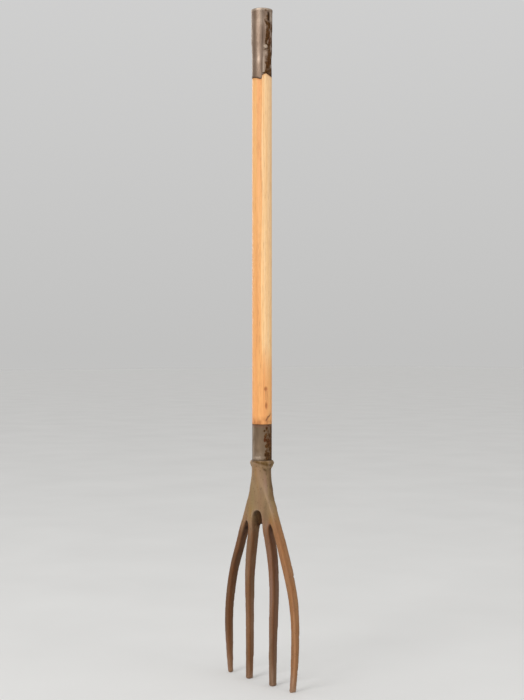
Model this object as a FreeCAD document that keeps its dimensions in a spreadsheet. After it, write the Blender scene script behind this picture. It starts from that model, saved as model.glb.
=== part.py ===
import FreeCAD, Part
import math
import os

# Digging fork: four forged tines on one head, a tang inside a straight ash
# shaft, a tube ferrule at the bottom of the shaft and a rolled, lapped steel
# sleeve at its top.  Millimetres, +Z up the shaft, X across the tines, front
# face of the head towards -Y, Z = 0 at the tine tips.

doc = FreeCAD.newDocument("digging_fork")

# ---------------------------------------------------------------- dimensions
SHEET = [
    # shaft and levels
    ("overall_height", 1141.0),
    ("shaft_dia", 34.0),
    ("wood_foot", 377.0),
    ("wood_shoulder", 438.0),
    ("wood_top_shoulder", 1027.0),
    ("lap_seat_level", 1020.5),
    ("lap_seat_depth", 0.35),
    ("wood_head", 1136.5),
    ("wood_edge_break", 0.8),
    ("tenon_dia", 30.5),
    ("top_tenon_dia", 30.5),
    ("top_tenon_dia_head", 32.5),
    ("flare_start", 1050.0),
    ("flare_end", 1106.0),
    # tang
    ("tang_root_side", 14.0),
    ("tang_tip_side", 6.0),
    ("tang_tip_level", 478.0),
    ("tang_clearance", 0.25),
    # lower ferrule and its pin
    ("ferrule_outer_dia", 33.4),
    ("ferrule_bore", 30.6),
    ("pin_dia", 5.0),
    ("pin_level", 386.0),
    ("pin_end_crown", 0.15),
    # upper sleeve and its rivet
    ("sleeve_dia_low", 33.3),
    ("sleeve_dia_mid", 34.2),
    ("sleeve_dia_high", 35.2),
    ("sleeve_rim_dia", 37.0),
    ("sleeve_mid_level", 1075.0),
    ("sleeve_rim_height", 4.5),
    ("lap_gauge", 0.9),
    ("lap_turn", 130.0),
    ("lap_foot", 1021.0),
    ("seam_turn", 51.0),
    ("rivet_dia", 4.0),
    ("rivet_head_dia", 7.4),
    ("rivet_head_high", 1.5),
    ("rivet_level", 1076.0),
    ("rivet_turn", 71.0),
    # shoulder under the ferrule
    ("shoulder_top", 377.0),
    ("shoulder_widest", 372.8),
    ("shoulder_foot", 365.0),
    ("shoulder_top_corner", 18.4),
    ("shoulder_corner", 20.8),
    ("shoulder_foot_corner", 17.6),
    # fork head
    ("head_depth_cut", 60.0),
    ("crown_top", 318.0),
    ("crown_arch_top", 291.7),
    ("side_arch_top", 272.0),
    ("side_arch_x", 31.6),
    ("crown_arch_half", 9.7),
    ("side_arch_half", 4.7),
    ("tine_a_thinning", 1.1),
    ("tip_chamfer", 1.8),
    ("middle_web_foot", 263.0),
    ("middle_web_length", 26.0),
]

# the two edges of each tine in the front view, from the left: level, X
TINE_LEVELS = [0, 25, 50, 75, 100, 125, 150, 175, 200, 225]
TINE_EDGES = {
    "tine_a_outer": [-87.4, -90.2, -91.8, -93.4, -93.8, -92.0, -88.3, -82.3, -74.4, -64.1],
    "tine_a_inner": [-81.0, -82.2, -83.2, -84.0, -84.1, -82.1, -78.3, -72.5, -64.0, -53.3],
    "tine_b_outer": [-36.1, -35.8, -35.1, -34.8, -34.9, -35.7, -36.7, -36.9, -35.8, -33.1],
    "tine_b_inner": [-26.8, -25.8, -25.3, -25.4, -25.7, -26.2, -26.4, -25.5, -23.2, -19.3],
    "tine_c_inner": [26.8, 26.9, 27.3, 27.8, 28.1, 28.6, 29.0, 28.0, 25.4, 20.7],
    "tine_c_outer": [36.5, 36.8, 36.9, 37.2, 38.3, 39.2, 39.8, 39.3, 37.5, 34.2],
    "tine_d_inner": [79.9, 82.1, 84.0, 85.2, 85.4, 83.5, 78.9, 71.7, 62.6, 53.1],
    "tine_d_outer": [86.8, 90.0, 92.3, 93.8, 93.9, 92.3, 88.9, 82.4, 74.5, 64.3],
}
# outer edge of the crown above the tines: half width at each level
CROWN = [(240, 58.6), (260, 50.0), (280, 41.2), (300, 32.4), (318, 24.6)]
# thickness of the tines and crown, front to back
DEPTH = [(0, 8.9), (50, 11.2), (100, 12.4), (150, 13.4), (200, 14.4), (240, 14.7),
         (262, 14.7), (286, 14.8), (304, 16.1), (318, 18.4)]
# how far the middle of that thickness stands from the shaft's axis
LEAN = [(0, -2.4), (50, -2.4), (100, -2.2), (150, -1.5), (200, -1.2), (240, -1.4),
        (262, -1.6), (286, -1.8), (304, -1.8), (318, -1.7)]
# neck: level, width, depth, corner radius, lean
NECK = [(318, 49.2, 18.4, 0.6, -1.7), (326, 44.2, 20.8, 3.2, -1.6),
        (334, 40.2, 25.0, 7.0, -1.2), (343, 36.8, 29.6, 12.0, -0.6),
        (354, 34.2, 33.4, 16.0, -0.1), (366, 34.0, 34.0, 16.6, 0.0)]

sheet = doc.addObject("Spreadsheet::Sheet", "dimensions")
row = 1
cell_of = {}


def put(name, value):
    global row
    sheet.set("A%d" % row, name)
    sheet.set("B%d" % row, "%.4f" % value)
    sheet.setAlias("B%d" % row, name)
    cell_of[name] = "B%d" % row
    row += 1


for name, value in SHEET:
    put(name, value)
for label in sorted(TINE_EDGES):
    for level, value in zip(TINE_LEVELS, TINE_EDGES[label]):
        put("%s_at_%d" % (label, level), value)
for table, label in ((CROWN, "crown_half"), (DEPTH, "depth"), (LEAN, "lean")):
    for level, value in table:
        put("%s_at_%d" % (label, level), value)
for k, rec in enumerate(NECK):
    for label, value in zip(("level", "width", "depth", "corner", "lean"), rec):
        put("neck_%s_no%d" % (label, k), value)
doc.recompute()


def V(x, y, z=0.0):
    return FreeCAD.Vector(x, y, z)


def dim(name):
    return float(sheet.get(name))


def cell(name):
    return "dimensions." + name


# ------------------------------------------------------------------ helpers
def new_body(label):
    b = doc.addObject("PartDesign::Body", label)
    b.Label = label
    return b


def plane_of(body, role):
    for f in body.Origin.OriginFeatures:
        if f.Role == role:
            return f
    raise ValueError(role)


def new_sketch(body, name, role, offset=None):
    sk = body.newObject("Sketcher::SketchObject", name)
    sk.AttachmentSupport = [(plane_of(body, role), "")]
    sk.MapMode = "FlatFace"
    if offset is not None:
        sk.AttachmentOffset = offset
    return sk


def held_polygon(sk, points):
    """Closed polygon whose corners are held by dimensions read from the sheet.
    Each point is (x, y, x_expression, y_expression)."""
    import Sketcher
    n = len(points)
    first = sk.GeometryCount
    for k in range(n):
        a, b = points[k], points[(k + 1) % n]
        sk.addGeometry(Part.LineSegment(V(a[0], a[1]), V(b[0], b[1])), False)
    for k in range(n):
        sk.addConstraint(Sketcher.Constraint("Coincident", first + k, 2, first + (k + 1) % n, 1))
    for k, (x, y, ex, ey) in enumerate(points):
        g = first + k
        if ex is None:
            sk.addConstraint(Sketcher.Constraint("PointOnObject", g, 1, -2))
        else:
            c = sk.addConstraint(Sketcher.Constraint("DistanceX", -1, 1, g, 1, x))
            sk.setExpression("Constraints[%d]" % c, ex)
        if ey is None:
            sk.addConstraint(Sketcher.Constraint("PointOnObject", g, 1, -1))
        else:
            c = sk.addConstraint(Sketcher.Constraint("DistanceY", -1, 1, g, 1, y))
            sk.setExpression("Constraints[%d]" % c, ey)


def turned(body, name, points):
    """A solid of revolution about the shaft's axis."""
    sk = new_sketch(body, name + "_profile", "XZ_Plane")
    held_polygon(sk, points)
    rev = body.newObject("PartDesign::Revolution", name)
    rev.Profile = sk
    rev.ReferenceAxis = (sk, ["V_Axis"])
    rev.Angle = 360
    return rev


def cross_hole(body, name, role, level_cell, dia_cell, turn=None):
    """A round hole straight through the body, across the shaft's axis."""
    import Sketcher
    sk = new_sketch(body, name + "_place", role)
    if turn is not None:
        sk.AttachmentOffset = FreeCAD.Placement(V(0, 0, 0), FreeCAD.Rotation(V(0, 1, 0), turn))
    z = dim(level_cell)
    sk.addGeometry(Part.Circle(V(0, z), V(0, 0, 1), dim(dia_cell) / 2.0), False)
    sk.addConstraint(Sketcher.Constraint("PointOnObject", 0, 3, -2))
    c = sk.addConstraint(Sketcher.Constraint("DistanceY", -1, 1, 0, 3, z))
    sk.setExpression("Constraints[%d]" % c, cell(level_cell))
    c = sk.addConstraint(Sketcher.Constraint("Radius", 0, dim(dia_cell) / 2.0))
    sk.setExpression("Constraints[%d]" % c, cell(dia_cell) + " / 2")
    cut = body.newObject("PartDesign::Pocket", name)
    cut.Profile = sk
    cut.Type = "ThroughAll"
    cut.SideType = "Symmetric"
    return cut


def table_cells(table, label):
    return [(level, dim("%s_at_%d" % (label, level))) for level, _ in table]


def between(table, z):
    """Smooth value of a table at a level, by a cubic through its points."""
    pts = table
    if z <= pts[0][0]:
        return pts[0][1]
    if z >= pts[-1][0]:
        return pts[-1][1]
    for k in range(len(pts) - 1):
        if pts[k][0] <= z <= pts[k + 1][0]:
            break

    def slope(j):
        if j == 0:
            return (pts[1][1] - pts[0][1]) / float(pts[1][0] - pts[0][0])
        if j == len(pts) - 1:
            return (pts[-1][1] - pts[-2][1]) / float(pts[-1][0] - pts[-2][0])
        return (pts[j + 1][1] - pts[j - 1][1]) / float(pts[j + 1][0] - pts[j - 1][0])
    h = float(pts[k + 1][0] - pts[k][0])
    u = (z - pts[k][0]) / h
    m0, m1 = slope(k) * h, slope(k + 1) * h
    return ((2 * u ** 3 - 3 * u ** 2 + 1) * pts[k][1] + (u ** 3 - 2 * u ** 2 + u) * m0 +
            (-2 * u ** 3 + 3 * u ** 2) * pts[k + 1][1] + (u ** 3 - u ** 2) * m1)


def spline(points):
    c = Part.BSplineCurve()
    c.interpolate([V(p[0], p[1]) for p in points])
    return c


def chain(sk, pieces):
    """Add curves end to end to a sketch and tie each joint."""
    import Sketcher
    first = sk.GeometryCount
    for g in pieces:
        sk.addGeometry(g, False)
    n = len(pieces)
    for k in range(n):
        sk.addConstraint(Sketcher.Constraint("Coincident", first + k, 2, first + (k + 1) % n, 1))


# -------------------------------------------------------------------- shaft
def rad(name):
    return dim(name) / 2.0, cell(name) + " / 2"


shaft = new_body("shaft")
r_t, e_t = rad("tenon_dia")
r_s, e_s = rad("shaft_dia")
r_u, e_u = rad("top_tenon_dia")
r_h, e_h = rad("top_tenon_dia_head")
turned(shaft, "turned_shaft", [
    (0, dim("wood_foot"), None, cell("wood_foot")),
    (r_t, dim("wood_foot"), e_t, cell("wood_foot")),
    (r_t, dim("wood_shoulder"), e_t, cell("wood_shoulder")),
    (r_s, dim("wood_shoulder"), e_s, cell("wood_shoulder")),
    (r_s, dim("lap_seat_level"), e_s, cell("lap_seat_level")),
    (r_s - dim("lap_seat_depth"), dim("lap_seat_level"), e_s + " - " + cell("lap_seat_depth"),
     cell("lap_seat_level")),
    (r_s - dim("lap_seat_depth"), dim("wood_top_shoulder"), e_s + " - " + cell("lap_seat_depth"),
     cell("wood_top_shoulder")),
    (r_u, dim("wood_top_shoulder"), e_u, cell("wood_top_shoulder")),
    (r_u, dim("flare_start"), e_u, cell("flare_start")),
    (r_h, dim("flare_end"), e_h, cell("flare_end")),
    (r_h, dim("wood_head") - dim("wood_edge_break"), e_h,
     cell("wood_head") + " - " + cell("wood_edge_break")),
    (r_h - dim("wood_edge_break"), dim("wood_head"), e_h + " - " + cell("wood_edge_break"),
     cell("wood_head")),
    (0, dim("wood_head"), None, cell("wood_head")),
])


def square_sketch(body, name, side_name, level, grow):
    """A square about the axis at a level; its side is a sheet cell plus grow."""
    import Sketcher
    sk = new_sketch(body, name, "XY_Plane", FreeCAD.Placement(V(0, 0, level), FreeCAD.Rotation()))
    a = dim(side_name) / 2.0 + grow
    corners = [(-a, -a), (a, -a), (a, a), (-a, a)]
    for k in range(4):
        p, q = corners[k], corners[(k + 1) % 4]
        sk.addGeometry(Part.LineSegment(V(*p), V(*q)), False)
    for k in range(4):
        sk.addConstraint(Sketcher.Constraint("Coincident", k, 2, (k + 1) % 4, 1))
    for k in (0, 2):
        sk.addConstraint(Sketcher.Constraint("Horizontal", k))
    for k in (1, 3):
        sk.addConstraint(Sketcher.Constraint("Vertical", k))
    sk.addConstraint(Sketcher.Constraint("Symmetric", 0, 1, 1, 2, -1, 1))
    c = sk.addConstraint(Sketcher.Constraint("DistanceX", 0, 1, 0, 2, 2 * a))
    sk.setExpression("Constraints[%d]" % c, "%s + %.4f" % (cell(side_name), 2 * grow))
    c = sk.addConstraint(Sketcher.Constraint("DistanceY", 1, 1, 1, 2, 2 * a))
    sk.setExpression("Constraints[%d]" % c, "%s + %.4f" % (cell(side_name), 2 * grow))
    return sk


gap = dim("tang_clearance")
low = square_sketch(shaft, "tang_mouth", "tang_root_side", dim("wood_foot") - 0.0, gap)
high = square_sketch(shaft, "tang_end", "tang_tip_side", dim("tang_tip_level") + 2.0, gap)
socket = shaft.newObject("PartDesign::SubtractiveLoft", "tang_socket")
socket.Profile = low
socket.Sections = [high]
socket.Ruled = True
cross_hole(shaft, "pin_hole", "YZ_Plane", "pin_level", "pin_dia")
cross_hole(shaft, "rivet_hole", "XZ_Plane", "rivet_level", "rivet_dia", dim("rivet_turn"))

# ------------------------------------------------------------ lower ferrule
lower_ferrule = new_body("lower_ferrule")
r_fb, e_fb = rad("ferrule_bore")
r_fo, e_fo = rad("ferrule_outer_dia")
turned(lower_ferrule, "ferrule_tube", [
    (r_fb, dim("shoulder_top"), e_fb, cell("shoulder_top")),
    (r_fo, dim("shoulder_top"), e_fo, cell("shoulder_top")),
    (r_fo, dim("wood_shoulder") - 0.4, e_fo, cell("wood_shoulder") + " - 0.4"),
    (r_fo - 0.4, dim("wood_shoulder"), e_fo + " - 0.4", cell("wood_shoulder")),
    (r_fb, dim("wood_shoulder"), e_fb, cell("wood_shoulder")),
])
cross_hole(lower_ferrule, "pin_hole_in_ferrule", "YZ_Plane", "pin_level", "pin_dia")

# ----------------------------------------------------------------- tang pin
tang_pin = new_body("tang_pin")
pin_sk = new_sketch(tang_pin, "pin_profile", "XY_Plane")
r_p, e_p = rad("pin_dia")
half = dim("ferrule_outer_dia") / 2.0
e_half = cell("ferrule_outer_dia") + " / 2"
held_polygon(pin_sk, [
    (0, half + dim("pin_end_crown"), None, e_half + " + " + cell("pin_end_crown")),
    (0, -half - dim("pin_end_crown"), None, "-(" + e_half + " + " + cell("pin_end_crown") + ")"),
    (r_p * 0.6, -half - dim("pin_end_crown"), e_p + " * 0.6", "-(" + e_half + " + " + cell("pin_end_crown") + ")"),
    (r_p, -half + 0.25, e_p, "-(" + e_half + " - 0.25)"),
    (r_p, half - 0.25, e_p, e_half + " - 0.25"),
    (r_p * 0.6, half + dim("pin_end_crown"), e_p + " * 0.6", e_half + " + " + cell("pin_end_crown")),
])
pin_rev = tang_pin.newObject("PartDesign::Revolution", "pin_solid")
pin_rev.Profile = pin_sk
pin_rev.ReferenceAxis = (pin_sk, ["V_Axis"])
pin_rev.Angle = 360
# the profile stands along Y at level 0: turn it along X and lift it to its level
tang_pin.Placement = FreeCAD.Placement(V(0, 0, dim("pin_level")), FreeCAD.Rotation(V(0, 0, 1), -90))
tang_pin.setExpression("Placement.Base.z", cell("pin_level"))

# ------------------------------------------------------------- upper sleeve
upper_sleeve = new_body("upper_sleeve")
r_a, e_a = rad("sleeve_dia_low")
r_m, e_m = rad("sleeve_dia_mid")
r_b, e_b = rad("sleeve_dia_high")
r_r, e_r = rad("sleeve_rim_dia")
top = dim("overall_height")
e_top = cell("overall_height")
foot, e_foot = dim("wood_top_shoulder"), cell("wood_top_shoulder")
bore_low = dim("top_tenon_dia") / 2.0 + 0.05
bore_high = dim("top_tenon_dia_head") / 2.0 + 0.05
e_bl = cell("top_tenon_dia") + " / 2 + 0.05"
e_bh = cell("top_tenon_dia_head") + " / 2 + 0.05"
turned(upper_sleeve, "sleeve_tube", [
    (bore_low, foot, e_bl, e_foot),
    (r_a, foot, e_a, e_foot),
    (r_a, dim("flare_start"), e_a, cell("flare_start")),
    (r_m, dim("sleeve_mid_level"), e_m, cell("sleeve_mid_level")),
    (r_b, dim("flare_end"), e_b, cell("flare_end")),
    (r_b, top - dim("sleeve_rim_height"), e_b, e_top + " - " + cell("sleeve_rim_height")),
    (r_r, top - dim("sleeve_rim_height") + 1.4, e_r, e_top + " - " + cell("sleeve_rim_height") + " + 1.4"),
    (r_r, top - 0.8, e_r, e_top + " - 0.8"),
    (r_r - 0.8, top, e_r + " - 0.8", e_top),
    (bore_high + 0.6, top, e_bh + " + 0.6", e_top),
    (bore_high, top - 0.8, e_bh, e_top + " - 0.8"),
    (bore_high, dim("flare_end"), e_bh, cell("flare_end")),
    (bore_low, dim("flare_start"), e_bl, cell("flare_start")),
])
# the outer lap of the rolled sheet: it covers a sector beside the seam, thins
# out to the back of the tube and hangs a little below the shaft's shoulder
lap_sk = new_sketch(upper_sleeve, "lap_profile", "XZ_Plane")
lap_sk.AttachmentOffset = FreeCAD.Placement(V(0, 0, 0), FreeCAD.Rotation(V(0, 1, 0), dim("seam_turn") - 90 - dim("lap_turn")))
g = dim("lap_gauge")
lap_r = dim("shaft_dia") / 2.0 - dim("lap_seat_depth") + 0.02
e_lr = cell("shaft_dia") + " / 2 - " + cell("lap_seat_depth") + " + 0.02"
held_polygon(lap_sk, [
    (lap_r, dim("lap_foot"), e_lr, cell("lap_foot")),
    (lap_r + 0.3 * g, dim("lap_foot"), e_lr + " + 0.3 * " + cell("lap_gauge"), cell("lap_foot")),
    (lap_r + 0.35 * g, dim("flare_start"), e_lr + " + 0.35 * " + cell("lap_gauge"), cell("flare_start")),
    (r_m + 0.7 * g, dim("sleeve_mid_level"), e_m + " + 0.7 * " + cell("lap_gauge"), cell("sleeve_mid_level")),
    (r_b + 0.7 * g, dim("sleeve_mid_level") + 14, e_b + " + 0.7 * " + cell("lap_gauge"),
     cell("sleeve_mid_level") + " + 14"),
    (r_b + 0.75 * g, top - dim("sleeve_rim_height") + 0.6, e_b + " + 0.75 * " + cell("lap_gauge"),
     e_top + " - " + cell("sleeve_rim_height") + " + 0.6"),
    (r_b - 0.5, top - dim("sleeve_rim_height") + 0.6, e_b + " - 0.5",
     e_top + " - " + cell("sleeve_rim_height") + " + 0.6"),
    (r_b - 0.5, dim("flare_end"), e_b + " - 0.5", cell("flare_end")),
    (r_m - 0.5, dim("sleeve_mid_level"), e_m + " - 0.5", cell("sleeve_mid_level")),
    (r_a - 0.5, dim("flare_start"), e_a + " - 0.5", cell("flare_start")),
    (r_a - 0.5, foot + 0.0, e_a + " - 0.5", e_foot),
    (lap_r, foot, e_lr, e_foot),
])
lap = upper_sleeve.newObject("PartDesign::Revolution", "outer_lap")
lap.Profile = lap_sk
lap.ReferenceAxis = (lap_sk, ["V_Axis"])
lap.Angle = dim("lap_turn")
lap.setExpression("Angle", cell("lap_turn"))
cross_hole(upper_sleeve, "rivet_hole_in_sleeve", "XZ_Plane", "rivet_level", "rivet_dia", dim("rivet_turn"))

# ------------------------------------------------------------- sleeve rivet
sleeve_rivet = new_body("sleeve_rivet")
riv_sk = new_sketch(sleeve_rivet, "rivet_profile", "XY_Plane")
r_v, e_v = rad("rivet_dia")
r_vh, e_vh = rad("rivet_head_dia")
seat = dim("sleeve_dia_mid") / 2.0 + 0.10
e_seat = cell("sleeve_dia_mid") + " / 2 + 0.10"
hh = dim("rivet_head_high")
e_hh = cell("rivet_head_high")
held_polygon(riv_sk, [
    (0, seat + hh, None, e_seat + " + " + e_hh),
    (0, -seat - hh, None, "-(" + e_seat + " + " + e_hh + ")"),
    (r_vh * 0.45, -seat - hh * 0.86, e_vh + " * 0.45", "-(" + e_seat + " + " + e_hh + " * 0.86)"),
    (r_vh * 0.82, -seat - hh * 0.45, e_vh + " * 0.82", "-(" + e_seat + " + " + e_hh + " * 0.45)"),
    (r_vh, -seat, e_vh, "-(" + e_seat + ")"),
    (r_v, -seat, e_v, "-(" + e_seat + ")"),
    (r_v, seat, e_v, e_seat),
    (r_vh, seat, e_vh, e_seat),
    (r_vh * 0.82, seat + hh * 0.45, e_vh + " * 0.82", e_seat + " + " + e_hh + " * 0.45"),
    (r_vh * 0.45, seat + hh * 0.86, e_vh + " * 0.45", e_seat + " + " + e_hh + " * 0.86"),
])
riv_rev = sleeve_rivet.newObject("PartDesign::Revolution", "rivet_solid")
riv_rev.Profile = riv_sk
riv_rev.ReferenceAxis = (riv_sk, ["V_Axis"])
riv_rev.Angle = 360
sleeve_rivet.Placement = FreeCAD.Placement(V(0, 0, dim("rivet_level")),
                                           FreeCAD.Rotation(V(0, 0, 1), dim("rivet_turn")))
sleeve_rivet.setExpression("Placement.Base.z", cell("rivet_level"))

# ---------------------------------------------------------------- fork head
crown_t = table_cells(CROWN, "crown_half")
depth_t = table_cells(DEPTH, "depth")
lean_t = table_cells(LEAN, "lean")


def edge(label, start):
    """Points up one edge of a tine, from just above its broken tip corner."""
    t_ = [(level, dim("%s_at_%d" % (label, level))) for level in TINE_LEVELS]
    return [(between(t_, start), start)] + [(v, level) for level, v in t_[1:]]


crown_top = dim("crown_top")
arch_top = dim("crown_arch_top")
side_top = dim("side_arch_top")
side_x = dim("side_arch_x")
ch = dim("tip_chamfer")

left_half = [(-v, level) for level, v in crown_t]
right_half = [(v, level) for level, v in crown_t]
arch_w = dim("crown_arch_half")
side_w = dim("side_arch_half")
mid_gap = (edge("tine_b_inner", ch) + [(-15.7, 245), (-arch_w - 1.2, 268), (-arch_w, arch_top - 11.7),
                                       (-arch_w * 0.7, arch_top - 3.6), (0.0, arch_top),
                                       (arch_w * 0.7, arch_top - 3.6), (arch_w, arch_top - 11.7),
                                       (arch_w + 1.2, 268), (15.5, 245)] +
           edge("tine_c_inner", ch)[::-1])


def side_gap(s, outer_label, inner_label):
    """Gap between an outer and an inner tine, up one side, round and down."""
    near, far = edge(inner_label, ch), edge(outer_label, ch)
    roof = [(s * (side_x - side_w + 2.6), 245), (s * (side_x - side_w), side_top - 13.5),
            (s * (side_x - side_w * 0.8), side_top - 4.6), (s * side_x, side_top),
            (s * (side_x + side_w), side_top - 4.9), (s * (side_x + side_w + 4.1), side_top - 15.0),
            (s * (side_x + side_w + 9.0), 245)]
    return near + roof + far[::-1]


head = new_body("fork_head")
out_sk = new_sketch(head, "head_outline", "XZ_Plane")


def tip(x_from, x_to):
    """Square-cut tip with broken corners, from one side's start to the other."""
    s = 1.0 if x_to > x_from else -1.0
    a, b = V(x_from, ch), V(x_from + s * ch, 0)
    c, d = V(x_to - s * ch, 0), V(x_to, ch)
    return [Part.LineSegment(a, b), Part.LineSegment(b, c), Part.LineSegment(c, d)]


corner = dim("crown_half_at_318")
pieces = [Part.LineSegment(V(corner, crown_top), V(-corner, crown_top)),
          spline(left_half[::-1] + edge("tine_a_outer", ch)[::-1])]
pieces += tip(edge("tine_a_outer", ch)[0][0], edge("tine_a_inner", ch)[0][0])
pieces += [spline(side_gap(-1.0, "tine_a_inner", "tine_b_outer")[::-1])]
pieces += tip(edge("tine_b_outer", ch)[0][0], edge("tine_b_inner", ch)[0][0])
pieces += [spline(mid_gap)]
pieces += tip(edge("tine_c_inner", ch)[0][0], edge("tine_c_outer", ch)[0][0])
pieces += [spline(side_gap(1.0, "tine_d_inner", "tine_c_outer"))]
pieces += tip(edge("tine_d_inner", ch)[0][0], edge("tine_d_outer", ch)[0][0])
pieces += [spline(edge("tine_d_outer", ch) + right_half)]
chain(out_sk, pieces)
plate = head.newObject("PartDesign::Pad", "drawn_plate")
plate.Profile = out_sk
plate.SideType = "Symmetric"
plate.Length = dim("head_depth_cut")
plate.setExpression("Length", cell("head_depth_cut"))
doc.recompute()

# the web between the two middle tines slopes down towards the back
web_sk = new_sketch(head, "middle_web_profile", "YZ_Plane")
web_pts = [V(-3.5, arch_top - 0.7), V(-3.5, arch_top + 10), V(20, arch_top + 10),
           V(20, dim("middle_web_foot")), V(5.6, dim("middle_web_foot")), V(0.6, arch_top - 10.0)]
chain(web_sk, [Part.LineSegment(web_pts[k], web_pts[(k + 1) % 6]) for k in range(6)])
web = head.newObject("PartDesign::Pad", "middle_web")
web.Profile = web_sk
web.SideType = "Symmetric"
web.Length = dim("middle_web_length")
web.setExpression("Length", cell("middle_web_length"))
doc.recompute()

# the side view of the plate: everything in front of and behind it is cut away
levels = [-6, 25, 50, 75, 100, 125, 150, 175, 200, 225, 250, 270, 286, 296, 304, 312, crown_top]


def face_line(sign):
    return [(between(lean_t, z) + sign * between(depth_t, z) / 2.0, z) for z in levels]


side_cut = dim("head_depth_cut")
for name, sign in (("front_relief", -1.0), ("back_relief", 1.0)):
    sk = new_sketch(head, name + "_profile", "YZ_Plane")
    pts = face_line(sign)
    far = sign * side_cut
    chain(sk, [spline(pts), Part.LineSegment(V(*pts[-1]), V(pts[-1][0], crown_top + 4)),
               Part.LineSegment(V(pts[-1][0], crown_top + 4), V(far, crown_top + 4)),
               Part.LineSegment(V(far, crown_top + 4), V(far, -6)),
               Part.LineSegment(V(far, -6), V(*pts[0]))])
    cut = head.newObject("PartDesign::Pocket", name)
    cut.Profile = sk
    cut.Type = "ThroughAll"
    cut.SideType = "Symmetric"
    doc.recompute()

# tine A is drawn out finer than the others towards its tip, front and back
last_volume = doc.getObject("back_relief").Shape.Volume
for name, sign in (("front_of_tine_a", -1.0), ("back_of_tine_a", 1.0)):
    sk = new_sketch(head, name + "_profile", "YZ_Plane",
                    FreeCAD.Placement(V(0, 0, -60.0), FreeCAD.Rotation()))
    pts = [(between(lean_t, z) + sign * (between(depth_t, z) / 2.0 - t_), z)
           for z, t_ in ((-1, dim("tine_a_thinning")), (25, dim("tine_a_thinning") * 0.42),
                         (50, dim("tine_a_thinning") * 0.18), (80, -0.15))]
    far = sign * side_cut
    chain(sk, [Part.LineSegment(V(*pts[k]), V(*pts[k + 1])) for k in range(3)] +
          [Part.LineSegment(V(*pts[3]), V(far, 80)), Part.LineSegment(V(far, 80), V(far, -1)),
           Part.LineSegment(V(far, -1), V(*pts[0]))])
    cut = head.newObject("PartDesign::Pocket", name)
    cut.Profile = sk
    cut.Type = "Length"
    cut.Length = 60
    doc.recompute()
    print(name, "removes %.0f mm3" % (last_volume - cut.Shape.Volume))
    last_volume = cut.Shape.Volume

# neck: from the crown's rounded rectangle to the round under the shoulder


def rounded_sketch(body, name, level, w, t_, r, lean):
    sk = new_sketch(body, name, "XY_Plane", FreeCAD.Placement(V(0, lean, level), FreeCAD.Rotation()))
    a, b = w / 2.0, t_ / 2.0
    r = min(r, a - 0.2, b - 0.2)
    q = math.pi / 2

    def arc(cx, cy, start):
        return Part.ArcOfCircle(Part.Circle(V(cx, cy), V(0, 0, 1), r), start, start + q)
    chain(sk, [
        Part.LineSegment(V(-a + r, -b), V(a - r, -b)), arc(a - r, -b + r, -q),
        Part.LineSegment(V(a, -b + r), V(a, b - r)), arc(a - r, b - r, 0),
        Part.LineSegment(V(a - r, b), V(-a + r, b)), arc(-a + r, b - r, q),
        Part.LineSegment(V(-a, b - r), V(-a, -b + r)), arc(-a + r, -b + r, 2 * q)])
    return sk


neck_sketches = []
for k in range(len(NECK)):
    vals = [dim("neck_%s_no%d" % (label, k)) for label in ("level", "width", "depth", "corner", "lean")]
    neck_sketches.append(rounded_sketch(head, "neck_section_%d" % k, *vals))
neck = head.newObject("PartDesign::AdditiveLoft", "neck_blend")
neck.Profile = neck_sketches[0]
neck.Sections = neck_sketches[1:]
doc.recompute()

# eight-sided shoulder that the ferrule and the shaft's foot sit on


def octagon_sketch(body, name, level, corner):
    import Sketcher
    sk = new_sketch(body, name, "XY_Plane", FreeCAD.Placement(V(0, 0, level), FreeCAD.Rotation()))
    pts = [V(corner * math.cos(math.radians(45 * k)), corner * math.sin(math.radians(45 * k)))
           for k in range(8)]
    chain(sk, [Part.LineSegment(pts[k], pts[(k + 1) % 8]) for k in range(8)])
    return sk


foot_sk = octagon_sketch(head, "shoulder_under", dim("shoulder_foot"), dim("shoulder_foot_corner"))
wide_sk = octagon_sketch(head, "shoulder_wide", dim("shoulder_widest"), dim("shoulder_corner"))
seat_sk = octagon_sketch(head, "shoulder_seat", dim("shoulder_top"), dim("shoulder_top_corner"))
shoulder = head.newObject("PartDesign::AdditiveLoft", "shoulder")
shoulder.Profile = foot_sk
shoulder.Sections = [wide_sk, seat_sk]
shoulder.Ruled = True
doc.recompute()

# square tang, tapering to its point inside the shaft
root_sk = square_sketch(head, "tang_root", "tang_root_side", dim("shoulder_top") - 0.01, 0.0)
end_sk = square_sketch(head, "tang_tip", "tang_tip_side", dim("tang_tip_level"), 0.0)
tang = head.newObject("PartDesign::AdditiveLoft", "tang")
tang.Profile = root_sk
tang.Sections = [end_sk]
tang.Ruled = True
doc.recompute()
cross_hole(head, "pin_hole_in_tang", "YZ_Plane", "pin_level", "pin_dia")
head.Tip = head.Group[-1]

# --------------------------------------------------------- check and export
doc.recompute()
nodes = [head, shaft, lower_ferrule, tang_pin, upper_sleeve, sleeve_rivet]
bad = [o.Name for o in doc.Objects if ("Invalid" in o.State or "Error" in o.State)]
if bad:
    raise RuntimeError("failed objects: " + ", ".join(bad))
os.makedirs("parts", exist_ok=True)
for b in nodes:
    s = b.Shape
    if s.isNull() or not s.isValid():
        raise RuntimeError("bad shape: " + b.Label)
for b in nodes:
    s = b.Shape
    bb = s.BoundBox
    print("%-14s solids %d  volume %.0f  X %.2f..%.2f  Y %.2f..%.2f  Z %.2f..%.2f" % (
        b.Label, len(s.Solids), s.Volume, bb.XMin, bb.XMax, bb.YMin, bb.YMax, bb.ZMin, bb.ZMax))
    s.exportStep("parts/%s.step" % b.Label)
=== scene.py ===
import math

import bmesh
import bpy
import numpy as np
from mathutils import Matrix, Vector
from mathutils.bvhtree import BVHTree


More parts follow.
